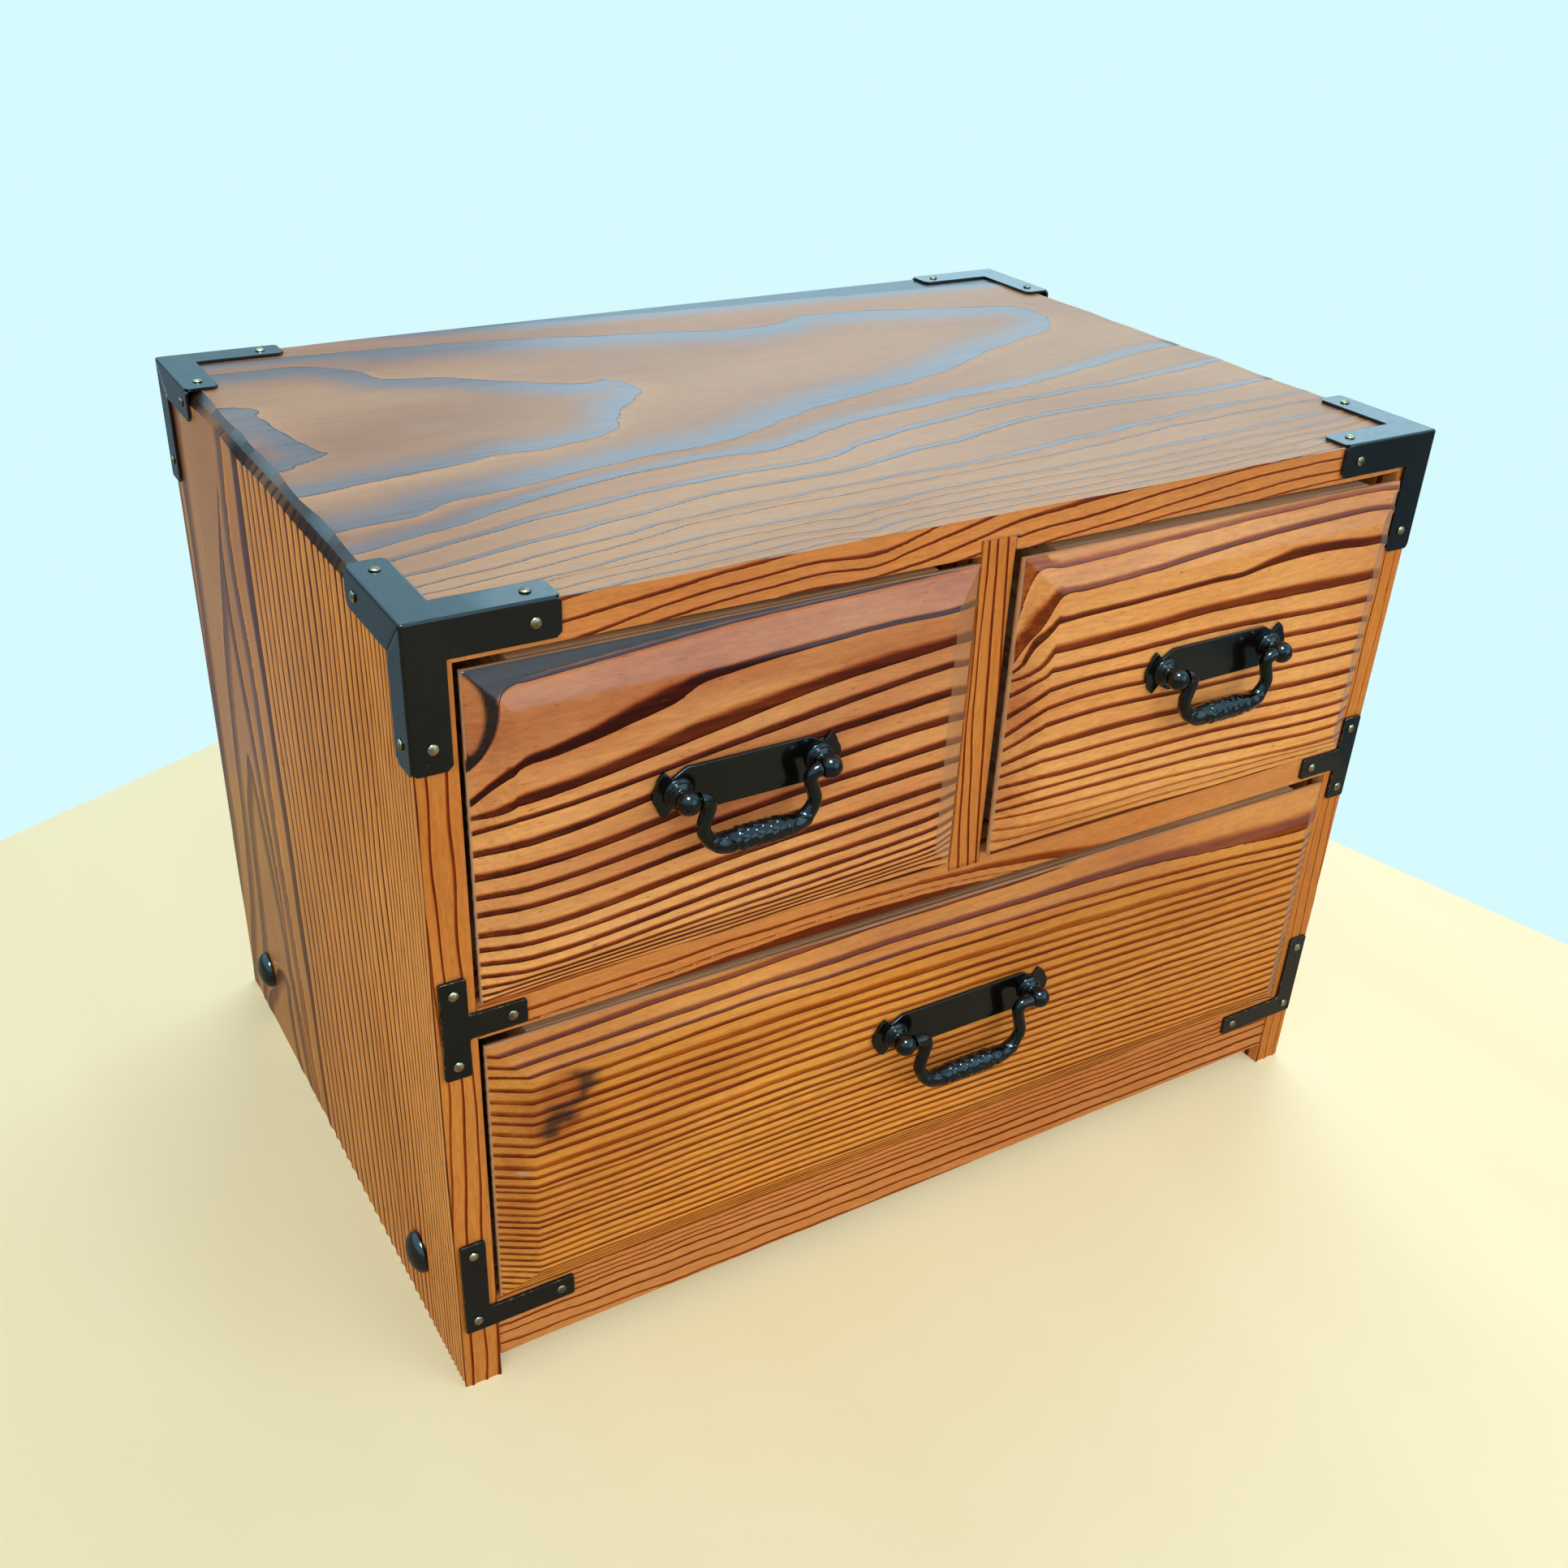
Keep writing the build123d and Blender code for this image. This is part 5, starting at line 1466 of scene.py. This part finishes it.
def plate_outline(pitch, end):
    """Backplate: clipped shoulders, a waist at each post, fantail ends."""
    post, reach = pitch / 2, 7.0
    tip, shoulder = post + end, post + 3.8
    upper = [(post - 2.8, -reach), (post + 1.5, -4.5), (shoulder, -reach)]
    for t in np.linspace(0.15, 1, 5):
        bulge = 0.35 * math.sin(math.pi * t)
        upper.append((shoulder + (tip - 1.2 - shoulder) * t + bulge,
                      -reach + (reach - 3.2) * t - bulge))
    nose = [(tip - 0.35, -1.8), (tip, 0.0), (tip - 0.35, 1.8)]
    half = upper + nose + [(x, -z) for x, z in reversed(upper)]
    return half + [(-x, -z) for x, z in half]


def make_posts(place):
    """Turned posts: flange, collar, neck and ball."""
    middle, pivot_y, pivot_z, pitch, _, _ = handle_sizes(place)
    ball, ball_out, steps = 3.5, 6.0, 12
    profile = [(0, 0.0, 0), (4.35, 0.0, 0.2), (4.5, 0.12, 0.8), (4.5, 0.7, 1.0), (4.36, 0.85, 1.0),
               (3.85, 1.25, 0.3), (3.72, 1.35, 0.5), (3.7, 1.5, 0.7), (3.7, 1.95, 1.0),
               (3.55, 2.12, 1.0), (2.55, 2.4, 0.2), (2.3, 2.62, 0.1), (2.25, 3.1, 0.1),
               (2.3, 3.55, 0.2)]
    start = math.asin(-2.42 / ball)
    for i in range(steps + 1):
        t = start + (math.pi / 2 - start) * i / steps
        profile.append((ball * math.cos(t) if i < steps else 0, ball_out + ball * math.sin(t),
                        0.35))
    shells = [lathe(profile, (middle + side * pitch / 2, pivot_y + ball_out, pivot_z),
                    (0, -1, 0), 44) for side in (-1, 1)]
    vertices, faces, edge = joined(shells)
    piece = publish(place + "_posts_iron", vertices, faces, handle_iron, place + "_drawer",
                    [place + "_handle_posts"], points={"edge": edge})
    smooth_by_angle(piece, 45)


def filleted(points, radii):
    """Polyline with arcs at its inner points."""
    p = np.asarray(points, float)
    out, steps = [p[0]], 8
    for i in range(1, len(p) - 1):
        u, w = p[i - 1] - p[i], p[i + 1] - p[i]
        u, w = u / np.linalg.norm(u), w / np.linalg.norm(w)
        half = math.acos(np.clip(u @ w, -1, 1)) / 2
        cut = radii[i - 1] / math.tan(half)
        centre = p[i] + (u + w) / np.linalg.norm(u + w) * radii[i - 1] / math.sin(half)
        a, b = p[i] + u * cut - centre, p[i] + w * cut - centre
        turn = math.pi - 2 * half
        for t in np.linspace(0, 1, steps + 1):
            out.append(centre + (math.sin((1 - t) * turn) * a + math.sin(t * turn) * b)
                       / math.sin(turn))
    out.append(p[-1])
    return np.array(out)


def resampled(path, step):
    """Path points evenly apart."""
    gaps = np.concatenate([[0], np.cumsum(np.linalg.norm(np.diff(path, axis=0), axis=1))])
    at = np.linspace(0, gaps[-1], int(gaps[-1] / step) + 1)
    return np.stack([np.interp(at, gaps, path[:, i]) for i in range(path.shape[1])], 1), at


def tube(path, radii):
    """Closed bar along a path in the xz plane; radii (points, angles) start at the front."""
    tangent = np.gradient(path, axis=0)
    tangent /= np.linalg.norm(tangent, axis=1)[:, None]
    normal = np.stack([-tangent[:, 1], tangent[:, 0]], 1)[:, None]
    count, segments = radii.shape
    angle = np.linspace(0, 2 * np.pi, segments, endpoint=False)
    x = path[:, None, 0] + normal[..., 0] * radii * np.sin(angle)
    z = path[:, None, 1] + normal[..., 1] * radii * np.sin(angle)
    v = np.stack([x, -radii * np.cos(angle), z], -1).reshape(-1, 3)
    number = np.arange(count * segments).reshape(count, segments)
    after = np.roll(number, -1, 1)
    quads = np.stack([number[:-1], after[:-1], after[1:], number[1:]], -1).reshape(-1, 4)
    return v, quads.tolist() + [number[0, ::-1].tolist(), number[-1].tolist()]


def scale_relief(along_bar, angle, half):
    """Overlapping fish scales round the middle of the grip, as heights up to one."""
    pitch, count = 2.3, 8
    row = np.floor(along_bar / pitch)
    best = np.zeros_like(along_bar)
    for shift in (0, 1):
        r = row + shift
        across = (along_bar - r * pitch) / (pitch * 1.1)
        around = angle / (2 * np.pi) * count + 0.5 * (r % 2)
        around = (around - np.round(around)) * 2
        d = np.sqrt(across**2 + (around * 0.92) ** 2)
        slope = 0.3 + 0.7 * np.clip(across, 0, 1)
        best = np.maximum(best, np.where(d < 1, slope * np.clip(1 - d**5, 0, 1) ** 0.4, 0))
    return best * np.clip((half - np.abs(along_bar)) / 0.5, 0, 1)


def cartouche_relief(along_bar, angle, middle, reach):
    """Raised oval rim with a leaf inside it, on the front and on the back of the bar."""
    across = np.minimum(np.abs(np.angle(np.exp(1j * angle))),
                        np.abs(np.angle(np.exp(1j * (angle - np.pi)))))
    x = (np.abs(along_bar) - middle) / reach
    d = np.sqrt(x**2 + (across / 1.15) ** 2)
    rim = np.exp(-((d - 0.86) / 0.11) ** 2)
    leaf = 0.5 * np.exp(-(across / 0.22) ** 2) * np.clip(1 - (x / 0.6) ** 2, 0, 1)
    return rim + leaf


def make_bail(place):
    """Hanging handle: pins, and one bar whose S-curved arms swell into a carved grip."""
    middle, pivot_y, pivot_z, pitch, inset, drop = handle_sizes(place)
    end_x, arm_x = pitch / 2 - 3.6, pitch / 2 - inset
    grip_reach = arm_x - 0.7
    half = [(end_x, 0), (arm_x, 0), (arm_x + 3.1, -drop * 0.62), (grip_reach, -drop)]
    points = half + [(-x, z) for x, z in reversed(half)]
    bends = [2.4, 4.5, 6.5]
    path, at = resampled(filleted(points, bends + bends[::-1]), 0.2)
    from_middle = at - at[-1] / 2
    near_end = at[-1] / 2 - np.abs(from_middle)
    t = np.clip((np.abs(from_middle) - 0.4 * grip_reach) / (0.6 * grip_reach + 6.0), 0, 1)
    swell = 0.5 + 0.5 * np.cos(math.pi * t)
    radius = 2.05 + 1.25 * swell + 0.2 * np.exp(-(near_end / 0.9) ** 2)
    angle = np.linspace(0, 2 * np.pi, 64, endpoint=False)
    along_bar, round_bar = np.meshgrid(from_middle, angle, indexing="ij")
    scales = scale_relief(along_bar, round_bar, grip_reach * 0.52)
    oval = cartouche_relief(along_bar, round_bar, grip_reach * 0.86, grip_reach * 0.30)
    radii = radius[:, None] + 0.5 * scales + 0.26 * oval
    shells = [(*tube(path, radii), np.clip(0.3 * (scales + oval), 0, 1).ravel())]
    pin = [(0, -0.5, 0), (1.0, -0.5, 0), (1.0, 2.5, 0), (0.9, 2.6, 0), (0, 2.6, 0)]
    shells += [lathe(pin, (side * end_x, 0, 0), (side, 0, 0), 20) for side in (-1, 1)]
    vertices, faces, values = joined(shells)
    vertices = vertices + (middle, pivot_y, pivot_z)
    piece = publish(place + "_bail_iron", vertices, faces, handle_iron, place + "_bail",
                    [place + "_bail"], points={"edge": values})
    smooth_by_angle(piece, 60)


def make_handle(place):
    """Backplate, posts and bail of one drawer."""
    middle, _, pivot_z, pitch, _, _ = handle_sizes(place)
    end = 8.3 if place == "lower" else 7.5
    outline = np.array(plate_outline(pitch, end)) + (middle, pivot_z)
    surface = edges(place + "_handle_plate")[1][1]
    front_plate(place + "_handle_plate", outline, surface, handle_iron, place + "_drawer",
                roll=0.25)
    make_posts(place)
    make_bail(place)


# ------------------------------------------------------------------ carried-over CAD nodes
def dress(node, material, ease=0.35):
    """Gives a CAD node its material and softens its arrises."""
    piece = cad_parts[node]
    piece.data.materials.clear()
    piece.data.materials.append(material)
    if ease:
        soften = piece.modifiers.new("arris", "BEVEL")
        soften.width, soften.segments = ease * MM, 2
        soften.limit_method, soften.angle_limit = "ANGLE", math.radians(40)
        soften.use_clamp_overlap = True


def dress_nodes():
    """Materials of the plain parts inside and behind."""
    for place in ("left", "right", "lower"):
        for part, material in (("box_front", box_wood), ("box_back", box_wood),
                               ("box_left", box_side_wood), ("box_right", box_side_wood),
                               ("box_bottom", ply_wood)):
            dress(f"{place}_{part}", material)
        dress(place + "_handle_screws", zinc, 0)
    for strip in ("left_outer", "left_inner", "right_inner", "right_outer", "lower_left",
                  "lower_right"):
        dress("guide_" + strip, box_side_wood, 0.5)
    dress("bottom_board", box_wood, 0.5)
    dress("back_panel", ply_wood, 0.3)
    dress("side_screws", zinc, 0)
    dress("back_nails", zinc, 0)


# ------------------------------------------------------------------ stage
def camera():
    """Camera at the viewing angle of the picture."""
    data = bpy.data.cameras.new("camera")
    focal_pixels, picture = 2021.77, 1932
    data.sensor_width = 36
    data.lens = focal_pixels / picture * data.sensor_width
    data.shift_x, data.shift_y = 0.01239, 0.01937
    data.clip_start, data.clip_end = 0.05, 20
    piece = linked("camera", data)
    right = Vector((0.86311, -0.50381, 0.03496))
    down = Vector((-0.23382, -0.46001, -0.85657))
    ahead = Vector((0.44763, 0.73114, -0.51484))
    turn = Matrix((right, -down, -ahead)).transposed()
    piece.matrix_world = Matrix.Translation(
        Vector((-282.36, -450.85, 421.22)) * MM) @ turn.to_4x4()
    bpy.context.scene.camera = piece


def area_light(name, at, towards, size, power, colour):
    """Soft rectangular lamp aimed at a point."""
    data = bpy.data.lights.new(name, "AREA")
    data.shape, data.size, data.size_y = "RECTANGLE", *size
    data.energy, data.color = power, colour
    piece = linked(name, data)
    piece.location = at
    piece.rotation_mode = "QUATERNION"
    piece.rotation_quaternion = (Vector(towards) - Vector(at)).to_track_quat("-Z", "Y")
    return piece


def stage_floor():
    """Pale floor that stops where the walls begin."""
    n = Nodes("pale_floor")
    cloud = n.noise((6, 1, 1), 3.0, 3, 0.5)
    tone = n.mix(cloud, rgb(238, 229, 184), rgb(246, 239, 198))
    path = n.add("ShaderNodeLightPath").outputs
    tone = n.mix(path["Is Glossy Ray"], tone, rgb(156, 142, 112))
    n.finish(Base_Color=tone, Roughness=0.5, Specular_IOR_Level=0.2, Emission_Color=tone,
             Emission_Strength=n.times(path["Is Camera Ray"], 0.27))
    corners = [(-3.0, -3.0), (1.06, -3.0), (0.3233, -0.0029), (0.2027, 0.4925), (-0.1339, 0.3419),
               (-3.0, -0.94)]
    mesh = bpy.data.meshes.new("floor")
    mesh.from_pydata([(x, y, 0) for x, y in corners], [], [range(len(corners))])
    mesh.materials.append(n.material)
    floor = linked("floor", mesh)


def world_light():
    """Pale cyan backdrop; a bluer sky, brighter higher up, in reflections; soft fill light."""
    world = bpy.data.worlds.new("world")
    bpy.context.scene.world = world
    world.use_nodes = True
    tree = world.node_tree

    def background(colour, strength):
        node = tree.nodes.new("ShaderNodeBackground")
        node.inputs["Color"].default_value = (*colour, 1)
        node.inputs["Strength"].default_value = strength
        return node

    def mixed(factor, first, second):
        node = tree.nodes.new("ShaderNodeMixShader")
        for socket, source in zip(node.inputs, (factor, first.outputs[0], second.outputs[0])):
            tree.links.new(source, socket)
        return node

    upward = tree.nodes.new("ShaderNodeSeparateXYZ")
    tree.links.new(tree.nodes.new("ShaderNodeTexCoord").outputs["Generated"], upward.inputs[0])
    climb = tree.nodes.new("ShaderNodeMapRange")
    climb.interpolation_type = "SMOOTHSTEP"
    climb.inputs["From Min"].default_value = -0.02
    climb.inputs["From Max"].default_value = 0.6
    tree.links.new(upward.outputs["Z"], climb.inputs["Value"])
    path = tree.nodes.new("ShaderNodeLightPath")
    sky = mixed(climb.outputs[0], background((0.16, 0.24, 0.29), 0.8),
                background((0.42, 0.80, 1.0), 1.6))
    unseen = mixed(path.outputs["Is Glossy Ray"], background((0.82, 0.92, 1.0), 0.45), sky)
    final = mixed(path.outputs["Is Camera Ray"], unseen, background(rgb(214, 250, 253), 1.0))
    tree.links.new(final.outputs[0], tree.nodes["World Output"].inputs["Surface"])


def lights():
    """Soft lamps light the wood; bluish windows show only in the gloss."""
    middle = (0, 0, 0.13)
    window_blue = (0.5, 0.8, 1.0)
    for name, at, size, power, colour, glossy in (
            ("window_back", (1.05, 1.25, 1.05), (1.9, 1.3), 20, (0.86, 0.92, 1.0), False),
            ("window_right", (0.9, -1.55, 0.85), (1.4, 1.2), 12, (0.98, 0.95, 0.98), False),
            ("room_left", (-1.1, -1.5, 1.2), (1.4, 1.4), 13, (1.0, 0.97, 0.92), False),
            ("sheen_back", (1.15, 1.3, 0.98), (1.5, 1.0), 5.2, (0.58, 0.84, 1.0), True),
            ("sheen_right", (0.9, -1.66, 0.85), (1.4, 1.2), 9, window_blue, True),
            ("sheen_above", (-0.3, -0.5, 1.6), (0.45, 0.45), 42, window_blue, True)):
        lamp = area_light(name, at, middle, size, power, colour)
        lamp.visible_glossy, lamp.visible_diffuse = glossy, not glossy


# ------------------------------------------------------------------ everything in order
make_top_board()
make_side_board("left_side", False)
make_side_board("right_side", True)
make_bar("mid_shelf", SHELF_LOW, SHELF_TOP, front_lines(SHELF_EDGE, 63, 0.12), PANEL_FRONT,
         notch=DIVIDER_LOW)
make_bar("bottom_rail", RAIL_LOW, RAIL_TOP, front_lines(RAIL_EDGE, 64, 0.15), FRONT + BOARD)
make_divider()
make_face("left", face_lines("left", LEFT_FACE, (LEFT_DROPS, 4.3), 81), left_cedar, 82,
          heart=1.7, shine=0.6, dark=[(LEFT_CORNER, 1.0, 0.7)],
          knots=[(-160, 234, 5, 14, 1.0), (-158, 212, 8, 20, 0.6), (-128, 232, 30, 5, 1.0)])
make_face("right", face_lines("right", RIGHT_FACE, (RIGHT_DROPS, 4.2), 83), right_cedar, 84,
          heart=0.5, shine=0.45, knots=[(9, 214, 8, 40, 0.7), (9, 170, 7, 30, 0.4)])
make_face("lower", face_lines("lower", LOWER_FACE, (LOWER_DROPS, 3.0), 85), lower_cedar, 86,
          heart=0.5, shine=0.14, dark=[(KNOT_UPPER, 0.78, 2.2), (KNOT_LOWER, 0.86, 2.0)],
          knots=[(-141, 112, 9, 8, 2.2), (-145, 103, 12, 9, 1.6), (-148, 107, 22, 17, 1.0),
                 (-157, 90, 8, 50, 0.6)],
          chips=[(-154, 85, 1.8, 0.7, 0.8)])
for x_side, side_name in ((-1, "left"), (1, "right")):
    for y_side, depth_name in ((-1, "front"), (1, "back")):
        make_corner(f"corner_{depth_name}_{side_name}", x_side, y_side)
make_flat_plates()
make_nails()
make_caps()
for place in ("left", "right", "lower"):
    make_handle(place)
dress_nodes()
stage_floor()
world_light()
lights()
camera()
bpy.context.scene.view_settings.view_transform = "Standard"
